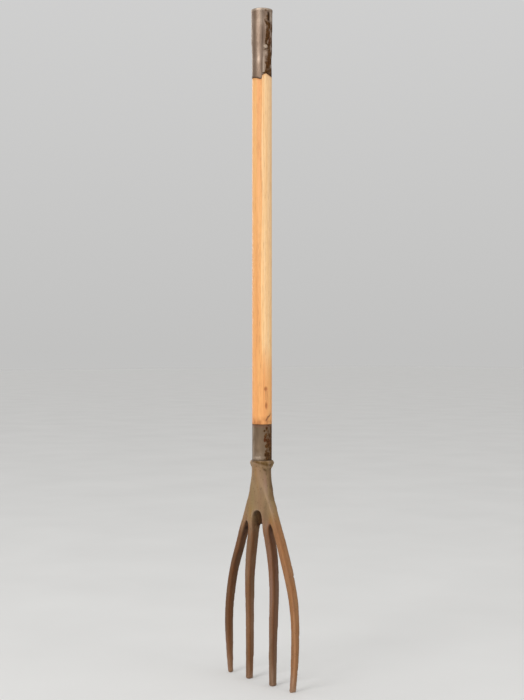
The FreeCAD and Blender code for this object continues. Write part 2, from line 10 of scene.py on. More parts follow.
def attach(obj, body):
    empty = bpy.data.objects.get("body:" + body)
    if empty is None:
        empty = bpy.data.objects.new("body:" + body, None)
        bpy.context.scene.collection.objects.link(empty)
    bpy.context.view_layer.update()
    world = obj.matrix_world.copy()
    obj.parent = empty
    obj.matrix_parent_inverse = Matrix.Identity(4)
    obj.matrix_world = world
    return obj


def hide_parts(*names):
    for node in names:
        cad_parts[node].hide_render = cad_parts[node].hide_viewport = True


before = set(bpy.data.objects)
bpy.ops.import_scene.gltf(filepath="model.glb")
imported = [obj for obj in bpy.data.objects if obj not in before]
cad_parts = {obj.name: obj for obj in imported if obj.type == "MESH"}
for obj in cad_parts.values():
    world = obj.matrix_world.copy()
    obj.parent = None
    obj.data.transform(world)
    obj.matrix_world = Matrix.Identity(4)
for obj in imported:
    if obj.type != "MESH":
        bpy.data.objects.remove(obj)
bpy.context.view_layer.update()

# Angles round the long axis are in degrees from the front (-Y) towards +X.
# Lengths in the builders below are millimetres; MM turns them into metres.
MM = 0.001


# ---------------------------------------------------------------- numbers

def polar(r, phi, z):
    a = np.radians(phi)
    return np.stack([r * np.sin(a), -r * np.cos(a), z + 0.0 * a], -1)


def smoothstep(a, b, x):
    t = np.clip((x - a) / (b - a), 0.0, 1.0)
    return t * t * (3.0 - 2.0 * t)


def table(x, xs, ys):
    """Smooth curve through a few points, level outside them."""
    x = np.clip(np.asarray(x, float), xs[0], xs[-1])
    xs, ys = np.asarray(xs, float), np.asarray(ys, float)
    k = np.clip(np.searchsorted(xs, x) - 1, 0, len(xs) - 2)
    slope = np.zeros(len(xs))
    step = np.diff(ys) / np.diff(xs)
    for j in range(1, len(xs) - 1):
        if step[j - 1] * step[j] > 0:
            slope[j] = 2.0 * step[j - 1] * step[j] / (step[j - 1] + step[j])
    h = xs[k + 1] - xs[k]
    t = (x - xs[k]) / h
    return ((2 * t ** 3 - 3 * t ** 2 + 1) * ys[k] + (t ** 3 - 2 * t ** 2 + t) * h * slope[k]
            + (-2 * t ** 3 + 3 * t ** 2) * ys[k + 1] + (t ** 3 - t ** 2) * h * slope[k + 1])


LATTICES = {}


def lattice(seed):
    if seed not in LATTICES:
        r = np.random.RandomState(seed)
        g = r.normal(size=(256, 3))
        LATTICES[seed] = (r.permutation(256), g / np.linalg.norm(g, axis=1)[:, None], r.rand(256, 3))
    return LATTICES[seed]


def noise(p, seed=1):
    """Gradient noise, about -1 to 1."""
    perm, grad, _ = lattice(seed)
    i = np.floor(p).astype(np.int64)
    f = p - i
    u = f * f * f * (f * (f * 6 - 15) + 10)
    total = np.zeros(len(p))
    for dx in (0, 1):
        for dy in (0, 1):
            for dz in (0, 1):
                h = perm[(perm[(perm[(i[:, 0] + dx) & 255] + i[:, 1] + dy) & 255] + i[:, 2] + dz) & 255]
                w = ((u[:, 0] if dx else 1 - u[:, 0]) * (u[:, 1] if dy else 1 - u[:, 1])
                     * (u[:, 2] if dz else 1 - u[:, 2]))
                total += w * (grad[h] * (f - (dx, dy, dz))).sum(1)
    return total * 1.7


def fbm(p, octaves=3, seed=1, gain=0.5):
    total, amp, size = np.zeros(len(p)), 1.0, 0.0
    for k in range(octaves):
        total += amp * noise(p * 2.03 ** k + 7.3 * k, seed + k)
        size += amp
        amp *= gain
    return total / size


def cells(p, seed=1):
    """Distance to the nearest scattered point, to the second nearest, and the nearest one's own value."""
    perm, _, spot = lattice(seed)
    i = np.floor(p).astype(np.int64)
    f = p - i
    best = np.full(len(p), 9.0)
    second = np.full(len(p), 9.0)
    value = np.zeros(len(p))
    for dx in (-1, 0, 1):
        for dy in (-1, 0, 1):
            for dz in (-1, 0, 1):
                h = perm[(perm[(perm[(i[:, 0] + dx) & 255] + i[:, 1] + dy) & 255] + i[:, 2] + dz) & 255]
                d = np.sqrt(((spot[h] + (dx, dy, dz) - f) ** 2).sum(1))
                nearer = d < best
                second = np.where(nearer, best, np.minimum(second, d))
                value = np.where(nearer, h / 255.0, value)
                best = np.where(nearer, d, best)
    return best, second, value


def near_line(a, z, points):
    """Distance in mm from points of the unrolled surface (a along the arc, z up) to a broken line, and how far along it."""
    best, along = np.full(np.shape(a), 1e9), np.zeros(np.shape(a))
    n = len(points) - 1
    for k in range(n):
        (a0, z0), (a1, z1) = points[k], points[k + 1]
        d = (a1 - a0) ** 2 + (z1 - z0) ** 2
        t = np.clip(((a - a0) * (a1 - a0) + (z - z0) * (z1 - z0)) / d, 0, 1)
        dist = np.hypot(a - a0 - t * (a1 - a0), z - z0 - t * (z1 - z0))
        along = np.where(dist < best, (k + t) / n, along)
        best = np.minimum(best, dist)
    return best, along


def turn_gap(phi, centre):
    """phi - centre, brought to -180..180."""
    return (phi - centre + 180.0) % 360.0 - 180.0


# ---------------------------------------------------------------- meshes

def piece(name, co, faces, cad, attributes=None, smooth=True):
    """One closed mesh, co in mm, that stands for a CAD node."""
    me = bpy.data.meshes.new(name)
    me.from_pydata((np.asarray(co) * MM).tolist(), [], faces)
    me.validate()
    me.update()
    ob = bpy.data.objects.new(name, me)
    bpy.context.scene.collection.objects.link(ob)
    bm = bmesh.new()
    bm.from_mesh(me)
    bmesh.ops.recalc_face_normals(bm, faces=bm.faces)
    bm.to_mesh(me)
    bm.free()
    for key, value in (attributes or {}).items():
        give(ob, key, value)
    if smooth:
        me.polygons.foreach_set("use_smooth", np.ones(len(me.polygons), bool))
    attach(ob, "root")
    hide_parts(cad)
    return ob


def give(ob, key, value):
    a = ob.data.attributes.new(key, "FLOAT", "POINT")
    a.data.foreach_set("value", np.ascontiguousarray(value, np.float32))


def rings(rows, poles=(None, None), loop=False):
    """Faces of a stack of closed rings. rows is (rows, segments, 3). poles are points that close its ends; loop joins the last ring to the first."""
    nr, ns = rows.shape[:2]
    co = rows.reshape(-1, 3)
    idx = np.arange(nr * ns).reshape(nr, ns)
    nxt = np.roll(idx, -1, axis=1)
    lo, hi = (idx, np.roll(idx, -1, axis=0)) if loop else (idx[:-1], idx[1:])
    lon, hin = (nxt, np.roll(nxt, -1, axis=0)) if loop else (nxt[:-1], nxt[1:])
    faces = np.stack([lo, lon, hin, hi], -1).reshape(-1, 4).tolist()
    for k, pole in enumerate(poles):
        if pole is None:
            continue
        co = np.vstack([co, [pole]])
        row, rown = (idx[0], nxt[0]) if k == 0 else (idx[-1], nxt[-1])
        end = len(co) - 1
        faces += [(int(end), int(b), int(a)) if k == 0 else (int(a), int(b), int(end)) for a, b in zip(row, rown)]
    return co, faces


def relax(co, edges, times, weight=0.5, keep=None):
    n = len(co)
    count = np.bincount(edges.ravel(), minlength=n).astype(float)[:, None]
    for _ in range(times):
        mean = np.stack([
            np.bincount(edges[:, 0], co[edges[:, 1], k], n) + np.bincount(edges[:, 1], co[edges[:, 0], k], n)
            for k in range(3)], -1) / count
        step = weight * (mean - co)
        co = co + (step if keep is None else step * keep[:, None])
    return co


def normals(me):
    n = np.zeros(len(me.vertices) * 3, np.float32)
    me.vertex_normals.foreach_get("vector", n)
    return n.reshape(-1, 3).astype(float)


def points_of(me):
    co = np.zeros(len(me.vertices) * 3, np.float32)
    me.vertices.foreach_get("co", co)
    return co.reshape(-1, 3).astype(float)


def edges_of(me):
    e = np.zeros(len(me.edges) * 2, np.int32)
    me.edges.foreach_get("vertices", e)
    return e.reshape(-1, 2)


# ---------------------------------------------------------------- upper sleeve: levels shared with the wood

SEAM = 51.0          # free edge of the rolled sheet
LAP_END = -79.0      # where the outer turn comes down to the inner one
SHEET = 0.75


def lap_foot(phi):
    """Lower edge of the outer turn, which reaches down over the wood. phi unrolled, -140 to 51."""
    return table(phi, [-140, -95, -60, -10, 20, 44, 51], [1027.3, 1026.2, 1025.2, 1024.4, 1022.9, 1021.1, 1021.4])


def inner_foot(phi):
    """Lower edge of the single turn, with its little arch beside the seam."""
    p = turn_gap(phi, 180.0) + 180.0
    return table(p, [0, 40, 52, 60, 70, 78, 88, 100, 112, 140, 200, 260, 300, 360],
                 [1027.6, 1027.6, 1027.7, 1029.2, 1030.5, 1030.6, 1029.4, 1027.9, 1027.2, 1027.3, 1027.8, 1027.2, 1027.6, 1027.6])


# ---------------------------------------------------------------- shaft

def build_shaft():
    ns = 192
    phi = np.arange(ns) * 360.0 / ns
    arc = lambda p, centre: np.radians(turn_gap(p, centre)) * 17.0
    square = 1.0 / np.maximum(np.abs(np.sin(np.radians(phi))), np.abs(np.cos(np.radians(phi))))
    under_lap = (turn_gap(phi, -14.0) > -72.0) & (turn_gap(phi, -14.0) < 64.5)
    signed = turn_gap(phi, -14.0) - 14.0
    a_level = np.where(under_lap, lap_foot(signed) - 0.15, inner_foot(phi) - 1.5)
    b_level = np.where(under_lap, 1027.45, inner_foot(phi) - 0.12)
    rows, kinds = [], []

    def row(r, z, kind):
        rows.append(np.stack([r * np.sin(np.radians(phi)), -r * np.cos(np.radians(phi)), z + 0.0 * phi], -1))
        kinds.append(kind)

    # the square socket that the tang is driven into, from its end down
    row(1.5 * square, 478.6, 0)
    row(3.28 * square, 478.6, 0)
    for t in np.linspace(0.0, 1.0, 24)[1:]:
        row((3.28 + 4.0 * t) * square, 478.6 - 101.5 * t, 0)
    for t in (0.33, 0.66):
        row((7.28 * square) * (1 - t) + 15.0 * t, 377.08, 0)
    row(15.0 + 0 * phi, 377.08, 0)
    for z in np.linspace(377.4, 437.9, 14):
        row(15.22 + 0 * phi, z, 0)
    row(15.9 + 0 * phi, 438.04, 0)
    row(16.45 + 0 * phi, 438.10, 0)
    row(16.66 + 0 * phi, 438.36, 1)
    levels = np.concatenate([np.arange(438.9, 520.0, 0.75), np.arange(520.0, 1000.0, 3.3), np.arange(1000.0, 1018.0, 1.2)])
    for z in levels:
        row(16.76 + 0 * phi, z + 0.0 * phi, 1)
    for t in np.linspace(0.0, 1.0, 9)[1:]:
        row(16.76 + 0 * phi, 1018.0 + (a_level - 1018.0) * t, 1)
    row(np.where(under_lap, 16.66, 16.74), a_level + 0.05, 1)
    row(np.where(under_lap, 16.43, 16.66), a_level + 0.22, 2)
    row(np.where(under_lap, 16.42, 16.60), a_level * 0.5 + b_level * 0.5, 2)
    row(np.where(under_lap, 16.42, 16.55), b_level - 0.25, 2)
    row(np.where(under_lap, 16.3, 16.35), b_level, 2)
    row(15.6 + 0 * phi, b_level + 0.02, 2)
    for z in np.linspace(0.0, 1.0, 34)[1:]:
        lvl = b_level + (1135.3 - b_level) * z
        row(table(lvl, [1050.0, 1106.0], [15.2, 16.2]), lvl, 0)
    row(15.9 + 0 * phi, 1135.9, 3)
    row(15.5 + 0 * phi, 1136.25, 3)
    for r in (14.8, 13.9, 12.9, 11.8, 10.6, 9.4, 8.2, 7.0, 5.8, 4.6, 3.4, 2.2, 1.1):
        row(r + 0 * phi, 1136.35, 3)
    rows = np.array(rows)
    kinds = np.repeat(np.array(kinds), ns)
    co, faces = rings(rows, poles=((0, 0, 478.6), (0, 0, 1136.35)))
    kinds = np.append(kinds, [0, 3])
    p = np.degrees(np.arctan2(co[:, 0], -co[:, 1]))
    r = np.hypot(co[:, 0], co[:, 1])
    z = co[:, 2]
    skin = (kinds == 1).astype(float)
    out = np.stack([np.sin(np.radians(p)), -np.cos(np.radians(p)), 0 * p], -1)
    slow = np.stack([co[:, 0] / 22.0, co[:, 1] / 22.0, z / 160.0], -1)
    flute = np.stack([co[:, 0] / 3.2, co[:, 1] / 3.2, z / 90.0], -1)
    d = 0.10 * fbm(slow, 2, 11) + 0.035 * noise(flute, 15) - 0.03
    fade = smoothstep(438.4, 441.0, z) * (1.0 - smoothstep(1012.0, 1019.0, z))
    d = d * fade
    # two small pin knots and the fibres that part round them
    knots = np.zeros(len(co))
    for centre, level, w, h, depth in ((73.5, 497.9, 2.6, 3.2, 0.42), (76.5, 469.8, 1.9, 5.0, 0.34),
                                       (214.0, 690.0, 2.2, 3.4, 0.35), (300.0, 905.0, 1.8, 3.0, 0.28)):
        e = (arc(p, centre) / w) ** 2 + ((z - level) / h) ** 2
        knots = np.maximum(knots, np.exp(-e * 0.62))
        d += -depth * np.exp(-e * 1.5) + 0.16 * np.exp(-((np.sqrt(e) - 1.55) / 0.5) ** 2)
    # checks (thin drying cracks) that run along the grain, and the torn one above the ferrule
    a = arc(p, 90.0)
    check, along = near_line(a, z, [(-4.9, 479.5), (-4.6, 487.0), (-4.8, 493.5)])
    check2, along2 = near_line(a, z, [(-2.6, 477.5), (-2.2, 486.0), (-2.5, 494.0)])
    ragged = np.stack([a / 1.6, z / 1.6, 0 * z], -1)
    split, along3 = near_line(a + 0.9 * noise(ragged, 27), z + 0.9 * noise(ragged + 9.0, 28), [(-4.9, 444.0), (-2.6, 446.6), (-0.6, 450.2), (2.2, 451.6), (5.8, 455.6)])
    dark = np.maximum.reduce([
        0.55 * np.exp(-(check / 0.5) ** 2), 0.5 * np.exp(-(check2 / 0.5) ** 2),
        0.95 * np.exp(-(split / (1.0 + 0.9 * np.sin(np.clip(along3, 0, 1) * math.pi))) ** 2),
        0.30 * np.exp(-(split / 3.4) ** 2)])
    d -= 0.18 * np.exp(-(check / 0.45) ** 2) + 0.16 * np.exp(-(check2 / 0.45) ** 2)
    d -= 0.75 * np.exp(-(split / 1.0) ** 2) * (0.4 + 0.6 * np.sin(np.clip(along3, 0, 1) * math.pi))
    d += 0.14 * np.exp(-((split - 1.5) / 0.7) ** 2)
    co = co + out * (d * skin)[:, None]
    rough_end = (kinds == 3) & (r < 15.4)
    co[:, 2] += np.where(rough_end, 0.12 * noise(np.stack([co[:, 0] / 1.7, co[:, 1] / 1.7, 0 * z], -1), 19), 0.0)
    # colour fields: paler sapwood on one side of a plane, handling dirt above the ferrule, and painted shadow on the
    # wood just below the sleeve's edge
    wander = 5.0 * noise(np.stack([0 * z, 0 * z + 3.3, z / 120.0], -1), 21)
    pale = smoothstep(-5.0, 3.0, turn_gap(p, 138.0 + wander) + 88.0) * (1 - smoothstep(-8.0, 8.0, turn_gap(p, 138.0 + wander) - 92.0))
    pale *= 0.25 + 0.75 * smoothstep(505.0, 620.0, z + 18.0 * noise(np.stack([co[:, 0] / 9.0, co[:, 1] / 9.0, z / 60.0], -1), 23))
    # the first term is handling dirt above the ferrule; the second is painted shadow just below the sleeve's edge
    dirt_and_shadow = (1.15 * np.exp(-(np.maximum(z - 438.0, 0) / 11.0) ** 2) * (1 - 0.75 * pale) * (0.55 + 0.45 * noise(np.stack([co[:, 0] / 6.0, co[:, 1] / 6.0, z / 9.0], -1), 25))
            + 0.75 * np.exp(-np.maximum(a_of(z, p, lap_foot, inner_foot), 0) / 2.2)) * (z > 437.0) * (z < 1031.0)
    soot = 0.35 * smoothstep(560.0, 440.0, z)
    ob = piece("shaft_wood", co, faces, "shaft",
               {"pale": pale, "knot": knots, "crack": dark, "dirt_and_shadow": np.clip(dirt_and_shadow, 0, 1), "handled": soot, "endgrain": (kinds == 3).astype(float)})
    return ob


def a_of(z, p, lap, inner):
    """How far below the sleeve's edge a point of the wood is."""
    q = turn_gap(p, -14.0)
    signed = q - 14.0
    edge = np.where((q > -72.0) & (q < 64.5), lap(signed), inner(p))
    return edge - z


# ---------------------------------------------------------------- lower ferrule

def build_ferrule():
    ns = 264
    phi = np.arange(ns) * 360.0 / ns
    rows, kinds = [], []

    def row(r, z, kind):
        rows.append(np.stack([r * np.sin(np.radians(phi)), -r * np.cos(np.radians(phi)), z + 0 * phi], -1))
        kinds.append(kind)

    foot = 377.03
    row(15.95 + 0 * phi, foot, 1)
    row(16.4 + 0 * phi, foot, 1)
    row(16.62 + 0 * phi, foot + 0.14, 1)
    for z in np.arange(377.6, 437.5, 0.52):
        row(16.66 + 0 * phi, z, 2)
    row(16.62 + 0 * phi, 437.62, 1)
    row(16.42 + 0 * phi, 437.88, 1)
    row(16.0 + 0 * phi, 437.98, 1)
    row(15.6 + 0 * phi, 437.90, 1)
    for z in np.linspace(437.6, 377.4, 40):
        row(15.33 + 0 * phi, z, 0)
    row(15.5 + 0 * phi, foot, 1)
    rows = np.array(rows)
    co, faces = rings(rows, loop=True)
    kinds = np.repeat(np.array(kinds), ns)
    p = np.degrees(np.arctan2(co[:, 0], -co[:, 1]))
    z = co[:, 2]
    out = np.stack([np.sin(np.radians(p)), -np.cos(np.radians(p)), 0 * p], -1)
    rusty = np.exp(-(turn_gap(p, 98.0) / 30.0) ** 2)
    q = co / 1.0
    big = noise(co / 14.0, 31)
    d = 0.05 * big + 0.03 * noise(co / (4.0, 4.0, 9.0), 32) - 0.05
    d += -0.10 * (1 - rusty) * smoothstep(0.25, 0.75, noise(co / 9.0, 33))
    pit, _, val = cells(co / 2.3, 34)
    d -= (0.10 + 0.16 * rusty) * np.exp(-(pit / 0.30) ** 2) * (val > 0.62 - 0.3 * rusty)
    scale = fbm(co / 3.4, 3, 36)
    d += 0.13 * rusty * scale
    # shallow ring left by the bench tool under the top edge
    d -= 0.07 * np.exp(-((z - 434.9) / 0.9) ** 2) * (0.5 + 0.5 * big)
    skin = np.where(kinds == 2, 1.0, np.where(kinds == 1, 0.35, 0.0))
    co = co + out * (np.clip(d, -0.5, 0.10) * skin)[:, None]
    # the top edge isn't quite level
    top = smoothstep(430.0, 438.0, z)
    co[:, 2] -= top * (0.10 + 0.10 * np.sin(np.radians(p * 2 + 40)) + 0.06 * noise(np.stack([co[:, 0] / 6.0, co[:, 1] / 6.0, 0 * z], -1), 37)) * (kinds > 0)
    # where rust sits: round the pin and in a few patches on the weather side
    rust = np.zeros(len(co))
    arc = np.radians(turn_gap(p, 90.0)) * 16.7
    for a0, z0, w, h, s in ((-7.3, 427.0, 2.2, 2.6, 0.9), (-2.6, 431.0, 2.4, 5.0, 0.8), (-3.4, 421.0, 2.6, 3.4, 0.85), (2.6, 418.0, 3.4, 4.4, 1.0),
                            (-6.4, 411.5, 2.0, 5.2, 0.95), (1.2, 410.0, 4.2, 6.0, 1.0), (-4.0, 401.0, 3.0, 4.0, 0.8), (3.0, 398.0, 4.2, 6.0, 0.9),
                            (0.0, 386.5, 4.4, 4.4, 0.65), (7.0, 389.0, 4.0, 6.0, 0.9), (8.0, 428.0, 4.0, 7.0, 0.9), (-1.0, 379.5, 9.0, 2.0, 0.8), (12.0, 405.0, 5.0, 14.0, 0.8)):
        rust = np.maximum(rust, s * np.exp(-((arc - a0) / w) ** 2 - ((z - z0) / h) ** 2))
    rust = np.maximum(rust, (0.60 - 0.24 * smoothstep(419.0, 427.0, z)) * smoothstep(-9.5, -3.6, arc + 1.2 * np.sin(z / 5.0)) * (1 - smoothstep(16.0, 30.0, arc)))
    rust += 0.30 * noise(co / (5.0, 5.0, 8.0), 38) + 0.34 * fbm(co / (7.5, 7.5, 5.0), 2, 39) * np.exp(-(turn_gap(p, 84.0) / 40.0) ** 2)
    red = 1.0 * np.exp(-((z - 435.5) / 3.0) ** 2) + 0.8 * np.exp(-((arc + 6.5) / 2.5) ** 2 - ((z - 410.5) / 6.0) ** 2) + 0.5 * np.exp(-((arc - 3) / 6.0) ** 2 - ((z - 409.0) / 7.0) ** 2)
    grime_and_shade = 0.9 * np.exp(-(z - 377.0) / 1.6) + 0.55 * np.exp(-(437.9 - z) / 1.2)
    # the reddish band that the wood's foot leaves, and the foot rubbed bright on the side away from the rust
    stain = 0.42 * np.exp(-((z - 435.4) / 2.4) ** 2)
    front = np.exp(-(turn_gap(p, 22.0) / 34.0) ** 2)
    wear_and_highlight = front * (0.38 * np.exp(-((z - 382.6 - 0.05 * arc) / 2.6) ** 2) + 0.16 * smoothstep(396.0, 386.0, z)) * (0.8 + 0.4 * noise(co / (3.0, 3.0, 3.0), 40))
    grime_and_shade = grime_and_shade * (1 - 0.8 * front * smoothstep(400.0, 390.0, z))
    # painted highlight: a bright strip down the ferrule's left-hand edge
    wear_and_highlight = wear_and_highlight + 0.50 * np.exp(-(turn_gap(p, -9.0) / 8.0) ** 2) * (0.7 + 0.6 * noise(co / (4.0, 4.0, 16.0), 50))
    return piece("ferrule_low", co, faces, "lower_ferrule",
                 {"rust": np.clip(rust, 0, 1), "red": np.clip(red, 0, 1), "grime_and_shade": np.clip(grime_and_shade, 0, 1), "wear_and_highlight": np.clip(wear_and_highlight, 0, 1), "stain": stain, "painted_dark_band": 0 * z})


# ---------------------------------------------------------------- upper sleeve, a rolled sheet

def build_sleeve():
    nu, nv = 286, 134
    start = SEAM - 360.0 - 108.0
    u = np.linspace(start, SEAM, nu)
    t = np.linspace(0.0, 1.0, nv)
    lap = smoothstep(LAP_END - 26.0, LAP_END + 12.0, u)          # 1 on the outer turn
    hidden = 1.0 - smoothstep(SEAM - 360.0 - 9.0, SEAM - 360.0 + 2.0, u)   # 1 on the part under it
    low = np.where(u > -150.0, lap_foot(u), inner_foot(u))
    low = np.where(u > -150.0, low * smoothstep(-150, -120, u) + inner_foot(u) * (1 - smoothstep(-150, -120, u)), low)
    low = np.where(hidden > 0.02, 1027.62, low)
    top = 1140.6 + 0.25 * np.sin(np.radians(u * 1.0 + 30)) + 0.10 * np.sin(np.radians(u * 3.0))
    z = low[:, None] + (top - low)[:, None] * t[None, :]
    uu = np.repeat(u[:, None], nv, 1)
    # the free edge wanders a little
    seam_shift = 2.4 * smoothstep(1078.0, 1096.0, z) + 0.5 * np.sin(z / 7.0) - 0.4
    uu = uu + seam_shift * smoothstep(-20.0, 51.0, uu)
    uu = uu - 4.0 * smoothstep(1024.5, 1021.0, z) * smoothstep(44.0, 51.0, uu)
    inner = table(z, [1027.0, 1057.0, 1067.0, 1100.0, 1107.0, 1135.5, 1138.5, 1141.0], [16.5, 16.52, 17.05, 17.12, 17.55, 17.62, 18.05, 18.0])
    outer = table(z, [1021.0, 1025.0, 1031.0, 1057.0, 1077.0, 1086.0, 1135.0, 1138.3, 1141.0], [17.28, 17.22, 17.02, 17.04, 17.6, 18.24, 18.28, 18.46, 18.38])
    under = np.maximum(outer - SHEET - 0.08, 16.1)
    lapw, hidw = lap[:, None], hidden[:, None]
    r_out = inner * (1 - lapw) + outer * lapw
    r_out = r_out * (1 - hidw) + np.minimum(under, inner - 0.25) * hidw
    thick = SHEET - 0.16 * lapw * smoothstep(1030.0, 1026.0, z)
    co_o = np.stack([r_out * np.sin(np.radians(uu)), -r_out * np.cos(np.radians(uu)), z], -1)
    flat = co_o.reshape(-1, 3)
    p = uu.reshape(-1)
    zz = z.reshape(-1)
    seen = (1 - hidw + 0 * z).reshape(-1)
    weather = np.exp(-(turn_gap(p, 96.0) / 33.0) ** 2) * seen
    arc = np.radians(turn_gap(p, 71.0)) * 17.3
    d = 0.05 * noise(flat / (9.0, 9.0, 26.0), 41) + 0.06 * noise(flat / 17.0, 42) * (1 - 0.5 * weather) + 0.015 * noise(flat / (2.2, 2.2, 6.0), 43)
    pit, _, val = cells(flat / 2.5, 44)
    d -= (0.05 + 0.20 * weather) * np.exp(-(pit / 0.30) ** 2) * (val > 0.66 - 0.34 * weather)
    d += 0.16 * weather * fbm(flat / 3.6, 3, 45)
    # a flat beaten round the rivet, a dent under it and the lip between them
    away = np.hypot(arc, zz - 1076.0)
    d = np.where(away < 5.2, d * smoothstep(3.6, 5.2, away), d)
    dent = np.exp(-((arc + 0.6) / 4.6) ** 2 - ((zz - 1065.0) / 4.2) ** 2)
    d -= 0.42 * dent
    d += 0.22 * np.exp(-((arc - 0.2) / 5.0) ** 2 - ((zz - 1070.4) / 0.9) ** 2)
    # the tear near the head, with its curled lip on the far side
    tear, along = near_line(arc, zz, [(5.3, 1133.8), (6.0, 1130.0), (6.2, 1126.0), (5.5, 1121.0)])
    open_ = np.exp(-(tear / (1.55 - 0.6 * np.abs(along - 0.45))) ** 2)
    d -= 0.80 * open_
    d += 0.30 * np.exp(-((arc - 9.4 + 0.3 * np.sin(zz / 3.0)) / 1.6) ** 2) * smoothstep(1117.0, 1122.0, zz) * (1 - smoothstep(1134.0, 1138.0, zz))
    # a crease that curls away from the rim
    crease, ca = near_line(arc, zz, [(-7.6, 1134.2), (-5.2, 1133.6), (-2.2, 1131.0), (0.6, 1128.0)])
    d -= 0.22 * np.exp(-(crease / 0.8) ** 2)
    d += 0.12 * np.exp(-((crease - 1.7) / 0.9) ** 2)
    # the rim has been knocked over unevenly
    d += 0.22 * noise(np.stack([flat[:, 0] / 7.0, flat[:, 1] / 7.0, zz / 9.0], -1), 47) * smoothstep(1133.0, 1138.0, zz)
    d -= 0.55 * np.maximum(0, np.cos(np.radians(turn_gap(p, 141.0)))) ** 2 * np.exp(-((zz - 1054.0) / 12.0) ** 2)
    d *= seen
    shell = r_out.reshape(-1) + d
    shell = np.minimum(shell, 18.48)
    shell = shell.reshape(nu, nv)
    th = thick + 0 * z
    # round the sheet's long edges and its ends
    edge_v = np.minimum(t * (top - low)[:, None], (1 - t) * (top - low)[:, None])
    soft = 0.16 * np.exp(-(edge_v / 0.35) ** 2)
    inner_face = shell - th + soft
    outer_face = shell - soft
    edge_u = np.exp(-((SEAM - u)[:, None] * 0.3 / 0.30) ** 2) + np.exp(-((u - start)[:, None] * 0.3 / 0.30) ** 2)
    outer_face = outer_face - 0.13 * edge_u
    inner_face = inner_face + 0.10 * edge_u
    # nowhere may the inside reach the tenon
    wood = np.where(z < 1027.6, 16.47, table(z, [1050.0, 1106.0], [15.24, 16.24]))
    inner_face = np.maximum(inner_face, wood)
    outer_face = np.maximum(outer_face, inner_face + 0.3)
    ang = np.radians(uu)
    co_out = np.stack([outer_face * np.sin(ang), -outer_face * np.cos(ang), z], -1)
    co_in = np.stack([inner_face * np.sin(ang), -inner_face * np.cos(ang), z], -1)
    co = np.vstack([co_out.reshape(-1, 3), co_in.reshape(-1, 3)])
    o = np.arange(nu * nv).reshape(nu, nv)
    i = o + nu * nv
    faces = []
    quad = lambda a, b, c, e: np.stack([a, b, c, e], -1).reshape(-1, 4).tolist()
    faces += quad(o[:-1, :-1], o[1:, :-1], o[1:, 1:], o[:-1, 1:])
    faces += quad(i[:-1, :-1], i[:-1, 1:], i[1:, 1:], i[1:, :-1])
    faces += quad(o[:-1, -1], o[1:, -1], i[1:, -1], i[:-1, -1])
    faces += quad(o[:-1, 0], i[:-1, 0], i[1:, 0], o[1:, 0])
    faces += quad(o[0, :-1], o[0, 1:], i[0, 1:], i[0, :-1])
    faces += quad(o[-1, :-1], i[-1, :-1], i[-1, 1:], o[-1, 1:])
    # rust patches, worn places, painted highlight strips, painted shade inside the tear and painted shadow under the
    # rivet's head
    rust = np.zeros(len(p))
    # the thin band at z 1071, just under the rivet's head, is painted shadow; the other patches are rust
    for a0, z0, w, h, s in ((3.0, 1103.0, 3.4, 6.5, 1.0), (6.6, 1108.0, 3.4, 5.0, 0.9), (5.5, 1093.0, 4.0, 6.0, 1.0), (9.5, 1086.0, 3.2, 7.0, 1.0),
                            (1.6, 1111.5, 2.6, 4.0, 0.7), (-1.0, 1120.0, 2.2, 5.0, 0.55), (7.0, 1073.0, 3.0, 5.0, 0.8), (6.2, 1061.5, 2.4, 3.0, 0.9),
                            (3.2, 1048.5, 4.6, 5.6, 1.0), (8.6, 1048.0, 4.6, 6.0, 0.95), (6.5, 1036.5, 5.0, 7.0, 0.75), (12.0, 1060.0, 4.0, 16.0, 0.75),
                            (-0.4, 1071.0, 4.4, 1.1, 0.8), (12.0, 1112.0, 4.0, 12.0, 0.6), (4.9, 1127.0, 2.0, 8.0, 0.9), (2.0, 1137.0, 4.5, 2.6, 0.6),
                            (-1.5, 1031.5, 4.0, 1.4, 0.9), (4.6, 1030.0, 5.0, 1.6, 0.85)):
        rust = np.maximum(rust, s * np.exp(-((arc - a0) / w) ** 2 - ((zz - z0) / h) ** 2))
    weather2 = smoothstep(-2.6, 1.6, arc) * (1 - smoothstep(17.0, 30.0, arc)) * seen
    rust = np.maximum(rust, 0.62 * weather2 * (1 - 0.55 * smoothstep(1114.0, 1120.0, zz)))
    rust = rust * (1 - 0.55 * np.exp(-((arc - 11.4) / 1.9) ** 2) * smoothstep(1050.0, 1058.0, zz))
    rust = np.maximum(rust, np.exp(-((arc - 7.3) / 1.8) ** 2 - ((zz - 1083.0) / 3.0) ** 2))
    rust += (0.30 * fbm(flat / (4.5, 4.5, 7.0), 2, 48) + 0.34 * noise(flat / (8.0, 8.0, 10.0), 49)) * np.clip(weather2 + 0.25, 0, 1)
    rust = rust * (1 - 0.8 * dent) * smoothstep(2.5, 4.2, away)
    rust = np.where((zz < 1027.0) & (p > -150), rust * 0.3, rust)
    past = p - (SEAM - 360.0) - seam_shift.reshape(-1)           # degrees past the seam, on the turn beneath
    corner = np.exp(-(np.maximum(past, 0) / 2.4) ** 2) * (past > -3.0) * (past < 40.0) * (zz < 1096.0)
